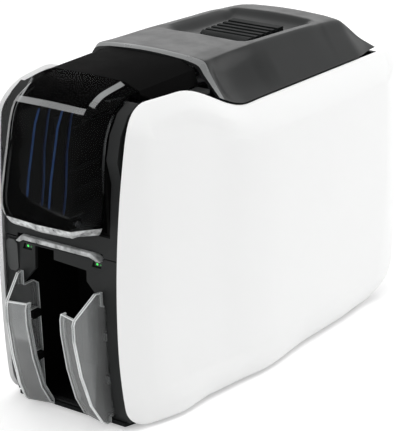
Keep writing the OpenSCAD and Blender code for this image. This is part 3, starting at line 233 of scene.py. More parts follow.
def smooth_sheet(rows, along, across):
    """Rows of points made finer both ways."""
    fine = [smooth_line(r, across) for r in rows]
    columns = [smooth_line([r[j] for r in fine], along) for j in range(len(fine[0]))]
    return [[c[i] for c in columns] for i in range(len(columns[0]))]


def shell(name, outer, inner, sharp_deg=SHARP_DEG, mark=None, rim=0):
    """Closed shell between two equal sheets of points.

    mark picks the finish of each outer face by its row and column, and rim is that of the rims.
    """
    rows, n = len(outer), len(outer[0])
    points = [p for r in outer for p in r] + [p for r in inner for p in r]
    o = rows * n
    faces, marks = [], []
    for r in range(rows - 1):
        for i in range(n - 1):
            a, b, c, d = r * n + i, (r + 1) * n + i, (r + 1) * n + i + 1, r * n + i + 1
            faces += [(a, b, c, d), (o + d, o + c, o + b, o + a)]
            marks += [mark(r, i) if mark else 0, 0]
    last = (rows - 1) * n
    for i in range(n - 1):
        j = last + i
        faces += [(i, i + 1, o + i + 1, o + i), (j + 1, j, o + j, o + j + 1)]
    for r in range(rows - 1):
        a, b = r * n, (r + 1) * n
        faces += [(a, o + a, o + b, b), (b + n - 1, o + b + n - 1, o + a + n - 1, a + n - 1)]
    marks += [rim] * (len(faces) - len(marks))
    return build(name, points, faces, sharp_deg, marks)


def copied(node):
    """A copy of a CAD node's mesh without its own normals."""
    mesh = nodes[node].data.copy()
    if "custom_normal" in mesh.attributes:
        mesh.attributes.remove(mesh.attributes["custom_normal"])
    return mesh


def merge_flats(bm, limit_deg):
    """Makes one face of the neighbours that lie within an angle of each other."""
    limit = math.radians(limit_deg)
    bmesh.ops.dissolve_limit(bm, angle_limit=limit, verts=bm.verts, edges=bm.edges)


FLAT_DEG = 1.0
BEVEL_FROM_DEG = 30.0
BEVEL_SEGMENTS = 2


def softened(node, width, edge=None):
    """A copy of a CAD node with its edges rounded inwards, in their own finish if one is given,
    which the callers use for painted edge highlights.
    """
    mesh = copied(node)
    bm = opened(mesh)
    merge_flats(bm, FLAT_DEG)
    close(bm, mesh, NODE_SHARP_DEG)
    piece = link(node + "_piece", mesh)
    bevel = piece.modifiers.new("edge", "BEVEL")
    bevel.width = width * MM
    bevel.segments = BEVEL_SEGMENTS
    bevel.limit_method = "ANGLE"
    bevel.angle_limit = math.radians(BEVEL_FROM_DEG)
    bevel.harden_normals = False
    if edge:
        mesh.materials.clear()
        mesh.materials.append(edge)
        mesh.materials.append(edge)
        bevel.material = 1
    return piece


BEAD_FLAT_DEG = 4.0
BEAD_LEAST = 3.0
BEAD_FROM_DEG = 28.0
BEAD_SIDES = 6
BEAD_SINK = 0.8


def beads(name, node, radius):
    """Thin beads on the long sharp edges of a CAD node, as light gathers there in clear plastic."""
    bm = opened(nodes[node].data)
    merge_flats(bm, BEAD_FLAT_DEG)
    points, faces = [], []
    n = BEAD_SIDES
    for edge in bm.edges:
        if len(edge.link_faces) != 2 or edge.calc_length() < BEAD_LEAST * MM:
            continue
        if edge.calc_face_angle() < math.radians(BEAD_FROM_DEG) or not edge.is_convex:
            continue
        a, b = (v.co / MM for v in edge.verts)
        along = (b - a).normalized()
        across = along.orthogonal().normalized()
        up = along.cross(across)
        outward = (edge.link_faces[0].normal + edge.link_faces[1].normal).normalized()
        sunk = -outward * radius * BEAD_SINK
        o = len(points)
        for end in (a, b):
            for k in range(n):
                t = 2 * math.pi * k / n
                spoke = across * math.cos(t) + up * math.sin(t)
                points.append(tuple(end + sunk + spoke * radius))
        faces += [(o + k, o + (k + 1) % n, o + n + (k + 1) % n, o + n + k) for k in range(n)]
        faces += [tuple(o + k for k in range(n)), tuple(o + 2 * n - 1 - k for k in range(n))]
    corners = [v.co / MM for v in bm.verts]
    low = [min(c[k] for c in corners) for k in range(3)]
    high = [max(c[k] for c in corners) for k in range(3)]
    bm.free()
    points = [tuple(min(max(c, lo), hi) for c, lo, hi in zip(p, low, high)) for p in points]
    return link(name, mesh_of(name, points, faces))


def without_strays(node, above_z):
    """A copy of a CAD node without its loose bits that lie wholly above a height."""
    mesh = copied(node)
    bm = opened(mesh)
    seen, strays = set(), []
    for start in bm.verts:
        if start in seen:
            continue
        island, queue = [], [start]
        seen.add(start)
        while queue:
            vert = queue.pop()
            island.append(vert)
            for edge in vert.link_edges:
                other = edge.other_vert(vert)
                if other not in seen:
                    seen.add(other)
                    queue.append(other)
        if min(v.co.z for v in island) > above_z * MM:
            strays += island
    bmesh.ops.delete(bm, geom=strays, context="VERTS")
    close(bm, mesh, NODE_SHARP_DEG)
    return link(node + "_piece", mesh)


def cut(piece, outline, heights, name):
    """Takes an opening of the given outline out of a piece, between two heights."""
    n = len(outline)
    points = [(x, y, z) for z in heights for x, y in outline]
    sides = [(i, (i + 1) % n, n + (i + 1) % n, n + i) for i in range(n)]
    tool = build(name, points, [*sides, tuple(range(n)), tuple(range(2 * n - 1, n - 1, -1))])
    boolean = piece.modifiers.new("cut", "BOOLEAN")
    boolean.operation = "DIFFERENCE"
    boolean.solver = "EXACT"
    boolean.object = tool
    deps = bpy.context.evaluated_depsgraph_get()
    result = bpy.data.meshes.new_from_object(piece.evaluated_get(deps))
    piece.modifiers.clear()
    piece.data = result
    bpy.data.objects.remove(tool)
    shade(result, SHARP_DEG)


# ---- materials ----
MOTTLING = 0.06
CLEAR_IOR = 1.45


def shader(name):
    """A new material with its node tree and its main shader."""
    mat = bpy.data.materials.new(name)
    mat.use_nodes = True
    tree = mat.node_tree
    return mat, tree, tree.nodes["Principled BSDF"]


def fill(node, **values):
    """Sets the sockets of a node, with underscores in their names for spaces."""
    for socket, value in values.items():
        node.inputs[socket.replace("_", " ")].default_value = value
    return node


def add(tree, kind, **values):
    """A new shader node with the given sockets set."""
    return fill(tree.nodes.new(kind), **values)


def noise(tree, scale, detail=3.0, rough=0.55):
    """Noise that lies still on the object."""
    place = add(tree, "ShaderNodeTexCoord")
    tex = add(tree, "ShaderNodeTexNoise", Scale=scale, Detail=detail, Roughness=rough)
    tree.links.new(place.outputs["Object"], tex.inputs["Vector"])
    return tex


def vary(tree, tex, low, high, socket):
    """Feeds a value that wanders between low and high into a socket."""
    span = add(tree, "ShaderNodeMapRange", From_Min=0.3, From_Max=0.7, To_Min=low, To_Max=high)
    tree.links.new(tex.outputs["Fac"], span.inputs["Value"])
    tree.links.new(span.outputs["Result"], socket)


def bump(tree, tex, depth_mm, socket, strength=1.0):
    """Feeds the relief of a noise into a normal socket."""
    node = add(tree, "ShaderNodeBump", Strength=strength, Distance=depth_mm * MM)
    tree.links.new(tex.outputs["Fac"], node.inputs["Height"])
    tree.links.new(node.outputs["Normal"], socket)


def colour_mix(tree, **values):
    """A node that mixes two colours."""
    node = add(tree, "ShaderNodeMix")
    node.data_type = "RGBA"
    return fill(node, **values)


def worn_colour(tree, base, color, edge, amount, mottling=MOTTLING):
    """Base colour with faint mottling and paler rubbed edges."""
    mottle = colour_mix(
        tree,
        A=(*[c * (1 - mottling) for c in color], 1),
        B=(*[min(1.0, c * (1 + mottling)) for c in color], 1),
    )
    tree.links.new(noise(tree, 38, 2.0).outputs["Fac"], mottle.inputs["Factor"])
    place = add(tree, "ShaderNodeNewGeometry")
    rub = add(tree, "ShaderNodeMapRange", From_Min=0.53, From_Max=0.62, To_Max=amount)
    tree.links.new(place.outputs["Pointiness"], rub.inputs["Value"])
    blend = colour_mix(tree, B=(*edge, 1))
    tree.links.new(mottle.outputs["Result"], blend.inputs["A"])
    tree.links.new(rub.outputs["Result"], blend.inputs["Factor"])
    tree.links.new(blend.outputs["Result"], base)


def moulded(
    name, color, rough, grain_scale, grain_mm,
    edge=None, coat=0.0, spread=0.05, gloss=0.3, mottling=MOTTLING,
):
    """Moulded plastic: fine grain, uneven gloss, slightly rubbed edges."""
    mat, tree, bsdf = shader(name)
    edge = edge or [min(1.0, c * 1.6 + 0.02) for c in color]
    worn_colour(tree, bsdf.inputs["Base Color"], color, edge, 0.35, mottling)
    vary(tree, noise(tree, 60, 4.0), rough - spread, rough + spread, bsdf.inputs["Roughness"])
    bump(tree, noise(tree, grain_scale, 2.0, 0.5), grain_mm, bsdf.inputs["Normal"])
    fill(bsdf, Specular_IOR_Level=gloss, Coat_Weight=coat, Coat_Roughness=0.12)
    return mat


def clear(
    name, tint, rough, cloud=0.0, cloud_tone=0.5,
    shine=0.9, patchy=0.15, patches=30,
):
    """Thin clear plastic: see-through, with a little cloudiness and more gloss at a slant."""
    mat, tree, bsdf = shader(name)
    tree.nodes.remove(bsdf)
    out = tree.nodes["Material Output"]
    see = add(tree, "ShaderNodeBsdfTransparent", Color=(*tint, 1))
    milk_color = (cloud_tone, cloud_tone * 1.02, cloud_tone * 1.02, 1)
    milk = add(tree, "ShaderNodeBsdfDiffuse", Color=milk_color)
    body = add(tree, "ShaderNodeMixShader")
    low, high = cloud * (1 - patchy), cloud * (1 + patchy)
    vary(tree, noise(tree, patches, 2.0), low, high, body.inputs["Fac"])
    tree.links.new(see.outputs["BSDF"], body.inputs[1])
    tree.links.new(milk.outputs["BSDF"], body.inputs[2])
    gloss = add(tree, "ShaderNodeBsdfGlossy", Color=(shine, shine, shine, 1))
    vary(tree, noise(tree, 45, 3.0), rough, rough + 0.03, gloss.inputs["Roughness"])
    bump(tree, noise(tree, 60, 2.0), 0.02, gloss.inputs["Normal"], 0.15)
    slant = add(tree, "ShaderNodeFresnel", IOR=CLEAR_IOR)
    mix = add(tree, "ShaderNodeMixShader")
    tree.links.new(slant.outputs["Fac"], mix.inputs["Fac"])
    tree.links.new(body.outputs["Shader"], mix.inputs[1])
    tree.links.new(gloss.outputs["BSDF"], mix.inputs[2])
    tree.links.new(mix.outputs["Shader"], out.inputs["Surface"])
    return mat


def metal(name, color, rough, brush=(1, 1, 1)):
    """Bright metal with drawn or brushed marks."""
    mat, tree, bsdf = shader(name)
    fill(bsdf, Metallic=1.0)
    tex = noise(tree, 160, 4.0)
    stretch = add(tree, "ShaderNodeMapping", Scale=brush)
    place = add(tree, "ShaderNodeTexCoord")
    tree.links.new(place.outputs["Object"], stretch.inputs["Vector"])
    tree.links.new(stretch.outputs["Vector"], tex.inputs["Vector"])
    worn_colour(tree, bsdf.inputs["Base Color"], color, [min(1.0, c * 1.2) for c in color], 0.3)
    vary(tree, tex, rough - 0.08, rough + 0.1, bsdf.inputs["Roughness"])
    bump(tree, tex, 0.03, bsdf.inputs["Normal"], 0.5)
    return mat


def glowing(name, color, strength):
    """A lens with its own light."""
    mat, tree, bsdf = shader(name)
    vary(tree, noise(tree, 300, 2.0), 0.2, 0.35, bsdf.inputs["Roughness"])
    fill(bsdf, Base_Color=(*color, 1), Emission_Color=(*color, 1), Emission_Strength=strength)
    return mat


M = {
    "white_shell": moulded(
        "white_shell", (0.89, 0.893, 0.89), 0.3, 1400, 0.004,
        edge=(0.9, 0.9, 0.9), spread=0.02, gloss=0.4, mottling=0.004,
    ),
    "charcoal_shell": moulded(
        "charcoal_shell", (0.008, 0.009, 0.009), 0.36, 2600, 0.012,
        edge=(0.03, 0.03, 0.03), gloss=0.35,
    ),
    "dark_shell": moulded(
        "dark_shell", (0.008, 0.009, 0.009), 0.42, 2600, 0.012,
        edge=(0.02, 0.02, 0.02), gloss=0.02,
    ),
    "black_satin": moulded(
        "black_satin", (0.005, 0.005, 0.005), 0.34, 2200, 0.008,
        edge=(0.012, 0.012, 0.012), gloss=0.001,
    ),
    "clear_plastic": clear("clear_plastic", (0.8, 0.815, 0.82), 0.03, 0.004, 0.5, 0.03),
    "blue_clear_plastic": clear("blue_clear_plastic", (0.75, 0.8, 0.95), 0.1, 0.03, 0.2, 0.1),
    "light_pipe": clear("light_pipe", (0.85, 0.88, 0.88), 0.1, 0.55, 0.72, 0.4, 0.5, 160),
    "green_lens": glowing("green_lens", (0.05, 0.7, 0.1), 0.8),
    "black_inner": moulded("black_inner", (0.004, 0.004, 0.004), 0.5, 2200, 0.03, gloss=0.03),
    "foot_rubber": moulded("foot_rubber", (0.015, 0.015, 0.015), 0.8, 900, 0.06),
    "steel": metal("steel", (0.6, 0.6, 0.6), 0.28, (1, 8, 1)),
    "spring_steel": metal("spring_steel", (0.5, 0.5, 0.5), 0.3),
    "zinc_steel": metal("zinc_steel", (0.42, 0.43, 0.44), 0.42),
    "roller_rubber": moulded("roller_rubber", (0.03, 0.03, 0.03), 0.75, 1600, 0.03),
    "cleaning_rubber": moulded("cleaning_rubber", (0.45, 0.32, 0.12), 0.35, 900, 0.02),
    "pinch_rubber": moulded("pinch_rubber", (0.13, 0.13, 0.13), 0.7, 1600, 0.03),
    "motor_metal": metal("motor_metal", (0.3, 0.3, 0.31), 0.35, (1, 1, 12)),
    "brass": metal("brass", (0.7, 0.52, 0.22), 0.28),
    "gear_plastic": moulded("gear_plastic", (0.7, 0.67, 0.58), 0.45, 1200, 0.02),
    "belt_rubber": moulded("belt_rubber", (0.02, 0.02, 0.02), 0.7, 1400, 0.05),
    "ribbon_case": moulded("ribbon_case", (0.12, 0.13, 0.15), 0.45, 2000, 0.02),
    "blue_ribbon": moulded("blue_ribbon", (0.03, 0.07, 0.25), 0.22, 600, 0.01, coat=0.4),
    "magenta_ribbon": moulded("magenta_ribbon", (0.28, 0.03, 0.1), 0.22, 600, 0.01, coat=0.4),
    "ribbon_film": moulded("ribbon_film", (0.35, 0.3, 0.05), 0.2, 500, 0.02, coat=0.4),
    "head_metal": metal("head_metal", (0.55, 0.56, 0.57), 0.4, (1, 1, 8)),
    "lift_plastic": moulded("lift_plastic", (0.6, 0.61, 0.61), 0.45, 1800, 0.02),
    "circuit_board": moulded("circuit_board", (0.02, 0.14, 0.05), 0.35, 500, 0.03),
}

# Finishes of single edges, rows and pieces that differ from the rest of their slot. The clear edge,
# ridge, lip and rib edge finishes and the lid band are painted highlights, the ridge finish is also
# a painted reflection band, and the two wing clears are painted light and shade.
# Painted edge highlight: near-white cloudy clear on the rounded edges and beads of clear parts
CLEAR_EDGE_HIGHLIGHT = clear("clear_edge_highlight", (0.95, 0.96, 0.96), 0.08, 0.85, 0.95)
# Painted highlights and painted reflection: paler cloudy clear on the door's ridges and rims and
# the band across its bend
CLEAR_RIDGE_HIGHLIGHT = clear("clear_ridge_highlight", (0.93, 0.94, 0.94), 0.06, 0.35, 0.65, 0.5)
# Painted highlights: bright, patchy cloudy clear on the door's lower lip
CLEAR_LIP_HIGHLIGHT = clear("clear_lip_highlight", (0.9, 0.92, 0.92), 0.08, 0.6, 0.85, 0.6, 0.6, 190)
# The wings' one clear plastic as two copies: painted paler as lit on the left wing and darker as
# shaded on the right
WING_LIT_AND_SHADED_CLEAR = {
    -1: clear("left_wing_clear_lit", (0.93, 0.945, 0.945), 0.04, 0.22, 0.8, 0.4),
    1: clear("right_wing_clear_shaded", (0.93, 0.945, 0.945), 0.04, 0.2, 0.75, 0.4),
}
# Painted glow: brighter blue on the edges of the clear blue ribs, where light gathers
RIB_EDGE_GLOW = moulded("rib_edge_glow", (0.11, 0.24, 0.62), 0.2, 900, 0.01, (0.15, 0.3, 0.7))
# Painted highlight: paler, glossier charcoal on the lid's front arch band
LID_BAND_SHEEN = moulded("lid_band_sheen", (0.16, 0.165, 0.165), 0.3, 2600, 0.01, (0.2, 0.2, 0.2), gloss=0.6)
BEZEL_DARK = moulded(
    "bezel_dark", (0.02, 0.021, 0.021), 0.42, 2600, 0.012,
    edge=(0.045, 0.045, 0.045), gloss=0.1,
)
BUTTON_GREY = moulded("button_grey", (0.035, 0.037, 0.037), 0.4, 2200, 0.01)
LENS_DARK = moulded("lens_dark", (0.006, 0.014, 0.008), 0.12, 400, 0.004, (0.02, 0.05, 0.03))
GREEN_DIM = glowing("green_dim", (0.02, 0.2, 0.04), 0.25)

slot_of = {p["node"]: p["material_slot"] for p in frame["record"]["subparts"]}
for node, solid in nodes.items():
    for held in solid.material_slots:
        held.material = M[slot_of[node]]

# ---- side panels ----
PANEL_RINGS = [0.25, 0.6, 1.2, 2, 3.5, 5.5, 8, 11, 14.5, 18.5, 22.5, 25.5, 27, 28.5]
ARC_STEPS = 10
RUN_STEPS = 72
SIDE_STEPS = 22
PANEL_SHARP_DEG = 50
# How far the rolled border falls away at the sides, and how much more at the top and bottom
ROLL_SIDE = 3
ROLL_TOP = 9
ROLL_BOTTOM = 4
RIM_DROP = 0.7
RIM_WIDTH = 1.6


def corner(cy, cz, r, start):
    """Places on a quarter round, each with the direction that faces outwards."""
    return [
        (cy + r * math.cos(a), cz + r * math.sin(a), math.cos(a), math.sin(a))
        for a in (math.radians(start + 90 * i / ARC_STEPS) for i in range(ARC_STEPS + 1))
    ]


def case_stretches(d):
    """Lower and upper stretches of the case outline set in by d, and its two upright sides."""
    reach = {k: max(r, d + LEAST_CORNER) for k, r in CORNERS.items()}
    fb, rb, rt, ft = (reach[k] for k in ("front_bottom", "rear_bottom", "rear_top", "front_top"))

    def run(y0, y1, z, nz):
        return [(y0 + (y1 - y0) * i / RUN_STEPS, z, 0, nz) for i in range(1, RUN_STEPS)]

    def rise(z0, z1, y, ny):
        return [(y, z0 + (z1 - z0) * i / SIDE_STEPS, ny, 0) for i in range(1, SIDE_STEPS)]

    low = (
        corner(FRONT_Y + fb, BASE_Z + fb, fb - d, 180)
        + run(FRONT_Y + fb, REAR_Y - rb, BASE_Z + d, -1)
        + corner(REAR_Y - rb, BASE_Z + rb, rb - d, 270)
    )
    rear = rise(BASE_Z + rb, HUMP_Z - rt, REAR_Y - d, 1)
    high = (
        corner(REAR_Y - rt, HUMP_Z - rt, rt - d, 0)
        + run(REAR_Y - rt, FRONT_Y + ft, HUMP_Z - d, 1)
        + corner(FRONT_Y + ft, HUMP_Z - ft, ft - d, 90)
    )
    front = rise(HUMP_Z - ft, BASE_Z + fb, FRONT_Y + d, -1)
    return low, rear, high, front


def bent(p):
    """Takes a place on the straight outline to the curved borders of the panel."""
    u = (p[0] - FRONT_Y) / (REAR_Y - FRONT_Y)
    v = (p[1] - BASE_Z) / (HUMP_Z - BASE_Z)
    bent_y = p[0] + (panel_front(panel_top(p[0])) - FRONT_Y) * (1 - u)
    z = BASE_Z + v * (panel_top(bent_y) - BASE_Z)
    return panel_front(z) * (1 - u) + panel_rear(z) * u, z


def roll(p, d):
    """How far the wide rolled border falls away at a distance d from the rim."""
    t = max(0.0, 1 - d / ROLL_WIDTH)
    depth = ROLL_SIDE + ROLL_TOP * max(0.0, p[3]) ** 2 + ROLL_BOTTOM * max(0.0, -p[3]) ** 2
    return depth * ((1 - CREASE) * t**1.5 + CREASE * t)


def rim_round(d):
    """How far the outer face drops away beside the rim."""
    return RIM_DROP * max(0.0, 1 - d / RIM_WIDTH) ** 2


# The panel draws in below the end of the hump, so that its front part reads as a form of its own
WAIST_Y = [-150, -130, -100, -65, -30, -5]
WAIST_DEPTH = [0, 1, 4.3, 6, 2, 0]
WAIST_FADE = (12, 27)
waist_curve = curve(WAIST_Y, WAIST_DEPTH)
# Its lower edge stands out and in along its length
FOOT_Y = [-160, -140, -112, -75, -48, -12, 45, 90, 130, 160]
FOOT_OUT = [0, 4, 6, 0, 1, 5.5, 0.5, 0, -3, -3]
foot_curve = curve(FOOT_Y, FOOT_OUT)


def waist(y, d):
    """How far the face draws in, fading out towards the rim."""
    if not WAIST_Y[0] < y < WAIST_Y[-1]:
        return 0.0
    return waist_curve(y) * step(d, *WAIST_FADE)


def foot(p, y, d):
    """How far the lower border stands out beyond its even roll."""
    return foot_curve(y) * max(0.0, -p[3]) ** 2 * max(0.0, 1 - d / ROLL_WIDTH) ** 1.5


def panel_point(side, p, d, depth=0.0):
    """A panel point from its place on the outline, d from the rim and depth into the wall."""
    y, z = bent(p)
    half_w = plan_half_w(y) - roll(p, d) - rim_round(d) - waist(y, d) + foot(p, y, d) - depth
    return side * half_w, y, z


def side_panel(side, name):
    """Closed side panel: rings on both faces of the wall, and the field inside them."""
    points, rings = [], []
    for layer in (0, 1):
        for d in PANEL_RINGS:
            stretches = case_stretches(d + layer * WALL)
            rings.append(len(points))
            for stretch in stretches:
                points += [panel_point(side, p, d, layer * WALL) for p in stretch]
    half, rear = len(stretches[0]), len(stretches[1])
    n = sum(len(s) for s in stretches)
    faces = []
    count = len(PANEL_RINGS)
    for layer in (0, 1):
        for r in range(count - 1):
            a, b = rings[layer * count + r], rings[layer * count + r + 1]
            faces += [(a + i, a + (i + 1) % n, b + (i + 1) % n, b + i) for i in range(n)]
        o = rings[layer * count + count - 1]
        top = 2 * half + rear - 1
        faces += [(o + i, o + i + 1, o + top - i - 1, o + top - i) for i in range(half - 1)]
        faces.append([o] + [o + i for i in range(top, n)])
        faces.append([o + i for i in range(half - 1, top - half + 2)])
    a, b = rings[0], rings[count]
    faces += [(a + i, a + (i + 1) % n, b + (i + 1) % n, b + i) for i in range(n)]
    return build(name, points, faces, PANEL_SHARP_DEG)


for side, node in ((-1, "left_side_panel"), (1, "right_side_panel")):
    dress(side_panel(side, node + "_shell"), "printer", "white_shell", M["white_shell"], node)

# ---- top cover ----
COVER_STEPS = 120
COVER_ACROSS = 6
LIP_CLEAR = 0.05
# Place along the cover, widening of the shoulders, shoulder height, crown, dish and flank hollow
COVER_ROWS = [
    (-47.5, 0.5, LIP_Z - 6, 4.8, 0, 0),
    (-42, 2, LIP_Z - 4, 4, 0, 0),
    (-30, 1, LIP_Z - 4.5, 3.5, 0, 3),
    (-10, 0, LIP_Z - 5, 3, 0, 4.5),
    (12, -0.5, LIP_Z - 5.5, 2, 0, 3),
    (24, -1, GRIP_Z + 4, 1.5, 3, 1),
    (34, -1.5, GRIP_Z + 3.5, 1, 7, 0),
    (60, -1.5, GRIP_Z + 2, 1, 8, 0),
    (92, -1, GRIP_Z, 1, 7.5, 0),
    (104, -1, GRIP_Z - 1.5, 1.5, 4, 0),
    (111, -0.5, GRIP_Z - 2.3, 3, 0, 0),
    (132, -0.5, GRIP_Z - 5, 3.5, 0, 0),
    (141, 0.5, GRIP_Z - 11, 3, 0, 0),
    (153, 5, GRIP_Z - 23, 3, 0, 0),
    (164, 10, GRIP_Z - 31.5, 0.5, 0, 0),
]


def cover_half(row, w):
    """Half a cross row of the cover from its lower edge to the middle, w into the wall."""
    y, wide, z, crown, dish, hollow = row
    h = SHOULDER_HALF_W + wide
    ex = plan_half_w(y) - 12 - 5 * step(y, 130, 158)
    ez = panel_top(y) + SEAM + 0.4
    # The lower edge, two points on the flank, the shoulder and four over the top
    return [
        (ex - 1.2 * w, y, ez),
        (ex + (h - ex) * 0.36 - hollow - w, y, ez + (z - ez) * 0.34 - hollow * 0.5 - w * 0.4),
        (ex + (h - ex) * 0.72 - hollow - w, y, ez + (z - ez) * 0.7 - hollow * 0.5 - w * 0.5),
        (h - w, y, z - w * 0.7),
        (h - 4 - w * 0.3, y, z + crown * 0.3 - w),
        (h - 8, y, z + crown * 0.45 - dish * 0.25 - w),
        (h - 14, y, z + crown * 0.65 - dish - w),
        (0, y, z + crown - dish - w),
    ]


def mirrored(half):
    """A whole row from its right half."""
    return half + [(-x, y, z) for x, y, z in reversed(half[:-1])]


def cover_sheet(w):
    """The whole cover as rows of points, w into the wall."""
    ends = COVER_ROWS[0][0], COVER_ROWS[-1][0]
    table = [curve([r[0] for r in COVER_ROWS], [r[k] for r in COVER_ROWS]) for k in range(1, 6)]
    ys = [ends[0] + (ends[1] - ends[0]) * i / COVER_STEPS for i in range(COVER_STEPS + 1)]
    halves = [cover_half((y, *[t(y) for t in table]), w) for y in ys]
    rows = [smooth_line(mirrored(half), COVER_ACROSS) for half in halves]
    return [[(x, y, min(z, LIP_Z - LIP_CLEAR)) for x, y, z in row] for row in rows]


RELEASE_FRONT_Y = 41.0
RELEASE_LEN = 50.0
RELEASE_HALF_W = 24.0
RELEASE_GAP = 0.4
CUT_HEIGHTS = (225, 262)
LID_SHEEN_ROWS = 3


def release_outline():
    """The outline of the release plate, with its rounded front corners, and the gap around it."""
    w, middle = RELEASE_HALF_W, RELEASE_LEN / 2
    half = [(w - 8, 0), (w - 2, 4), (w, 10), (w, RELEASE_LEN)]
    wider = 1 + RELEASE_GAP / w
    longer = 1 + 2 * RELEASE_GAP / RELEASE_LEN
    right = [(x * wider, RELEASE_FRONT_Y + middle + (y - middle) * longer) for x, y in half]
    return right + [(-x, y) for x, y in reversed(right)]


# The first rows, the lid's front arch band, carry the painted highlight finish
cover = shell(
    "top_cover_shell",
    cover_sheet(0.0),
    cover_sheet(WALL),
    mark=lambda row, column: int(row < LID_SHEEN_ROWS),
)
for finish in (M["charcoal_shell"], LID_BAND_SHEEN):
    cover.data.materials.append(finish)
cut(cover, release_outline(), CUT_HEIGHTS, "release_opening")
dress(cover, "cover", "charcoal_shell", M["charcoal_shell"], "top_cover")

# ---- hopper door ----
FACE = 34.0
DOOR = 44.0
CAP_TOP_Z = LIP_Z - 3
DOOR_WALL = 2.2
DOOR_SHARP_DEG = 24
DOOR_ALONG = 6
DOOR_ACROSS = 1
# Depth, height and half width of the front corner line, then the same of the rear edge line
DOOR_ROWS = [
    (-162, 147.5, FACE - 7, -152, 147.5, DOOR - 12),
    (-170, 150, FACE - 4, -152.5, 149, DOOR - 7),
    (-174.5, 157, FACE - 1, -153, 155, DOOR - 3),
    (-176, 167, FACE, -153, 165, DOOR - 0.5),
    (-171.5, 189, FACE, -152, 186, DOOR),
    (-167, 205, FACE, -150, 203, DOOR),
    (-161, 226, FACE, -145.5, 221, DOOR),
    (-155, 237, FACE, -137.5, 233, DOOR),
    (-147, 243, FACE - 0.5, -129, 240, DOOR + 0.3),
    (-135, 247.5, FACE - 1, -120, 244.5, DOOR + 1.5),
    (-112.3, CAP_TOP_Z, FACE - 1.5, -112.3, CAP_TOP_Z - 5, DOOR + 2),
]


def door_half(i, w):
    """Half a cross row of the door from its rear edge to the middle, w into the wall."""
    a, b = DOOR_ROWS[max(0, i - 1)], DOOR_ROWS[min(len(DOOR_ROWS) - 1, i + 1)]
    length = math.hypot(b[0] - a[0], b[1] - a[1])
    ny, nz = (b[1] - a[1]) / length, -(b[0] - a[0]) / length
    y, z, half, rear_y, rear_z, rear_half = DOOR_ROWS[i]
    # The rear edge, both sides of the corner, and the middle of the face, which stands 1 mm proud
    return [
        (rear_half - w, rear_y, rear_z),
        (half + 1.2 - w, y + (2.4 + w) * ny, z + (2.4 + w) * nz),
        (half - 2.6 - w, y + (0.2 + w) * ny, z + (0.2 + w) * nz),
        (0, y + (w - 1) * ny, z + (w - 1) * nz),
    ]


# Rows and columns of the door that carry painted highlights on its lower lip and ridges, and a
# painted reflection band across its bend
LIP_HIGHLIGHT_ROWS = 12
REFLECTION_BAND_ROWS = (42, 45)
RIGHT_RIDGE = 1
RIGHT_RIDGE_HIGHLIGHT_FROM = 47
LEFT_RIDGE = 4
# Places of the door's clear finish and its painted highlights among its materials
IN_CLEAR, IN_LIP_HIGHLIGHT, IN_HIGHLIGHT = range(3)


def door_finish_and_highlights(row, column):
    """Painted highlights on the lower lip, the left ridge and the upper right ridge, a painted
    reflection band across the bend, and the rest clear.
    """
    if row < LIP_HIGHLIGHT_ROWS:
        return IN_LIP_HIGHLIGHT
    if column == LEFT_RIDGE or (column == RIGHT_RIDGE and row >= RIGHT_RIDGE_HIGHLIGHT_FROM):
        return IN_HIGHLIGHT
    in_reflection_band = REFLECTION_BAND_ROWS[0] <= row < REFLECTION_BAND_ROWS[1] and RIGHT_RIDGE < column < LEFT_RIDGE
    return IN_HIGHLIGHT if in_reflection_band else IN_CLEAR


def door_sheet(w):
    """The whole door as rows of points, w into the wall."""
    rows = [mirrored(door_half(i, w)) for i in range(len(DOOR_ROWS))]
    return smooth_sheet(rows, DOOR_ALONG, DOOR_ACROSS)


# The door's rims carry the painted highlight finish as well
door = shell(
    "hopper_door_shell",
    door_sheet(0.0),
    door_sheet(DOOR_WALL),
    sharp_deg=DOOR_SHARP_DEG,
    mark=door_finish_and_highlights,
    rim=IN_HIGHLIGHT,
)
for finish in (M["clear_plastic"], CLEAR_LIP_HIGHLIGHT, CLEAR_RIDGE_HIGHLIGHT):
    door.data.materials.append(finish)
dress(door, "door", "clear_plastic", M["clear_plastic"], "hopper_door")

# ---- moulded pieces with softened edges ----
# Width of the rounding of each piece in millimetres
SOFT = {
    "front_bezel": 0.7,
    "lower_front_panel": 0.5,
    "door_cap": 0.8,
    "release_button": 0.5,
    "power_button": 0.4,
    "output_bin": 0.3,
    "card_hopper": 0.3,
    "light_bar": 0.5,
    "indicator_lights": 0.3,
    "wing_clips": 0.3,
    "rubber_feet": 0.5,
    "base_tray": 0.5,
    "door_guides": 0.2,
}
FINISH_OF = {
    "indicator_lights": LENS_DARK,
    "power_button": BUTTON_GREY,
    "front_bezel": BEZEL_DARK,
    "lower_front_panel": BEZEL_DARK,
}
# The ribs' rounded edges carry the painted blue edge glow
EDGE_OF = {"door_guides": RIB_EDGE_GLOW}
for node, width in SOFT.items():
    piece = softened(node, width, edge=EDGE_OF.get(node))
    finish = FINISH_OF.get(node, M[slot_of[node]])
    dress(piece, body_of(nodes[node])[0], slot_of[node], finish, node)

# ---- springs, hinge arms and rib edges ----
STRAY_Z = 237.0
GUIDE_BEAD = 0.45


def compressed(node):
    """A copy of a spring that takes the place of its CAD node."""
    spring = link(node + "_piece", nodes[node].data.copy())
    dress(spring, body_of(nodes[node])[0], slot_of[node], M[slot_of[node]], node)
    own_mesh(spring)


compressed("power_button_spring")
compressed("release_spring")
compressed("pusher_spring")

# The strap ends that stand clear of the hinge arms don't belong to the object
arms = "cover_hinge_arms"
arms_piece = without_strays(arms, STRAY_Z)
dress(arms_piece, body_of(nodes[arms])[0], slot_of[arms], M[slot_of[arms]], arms)

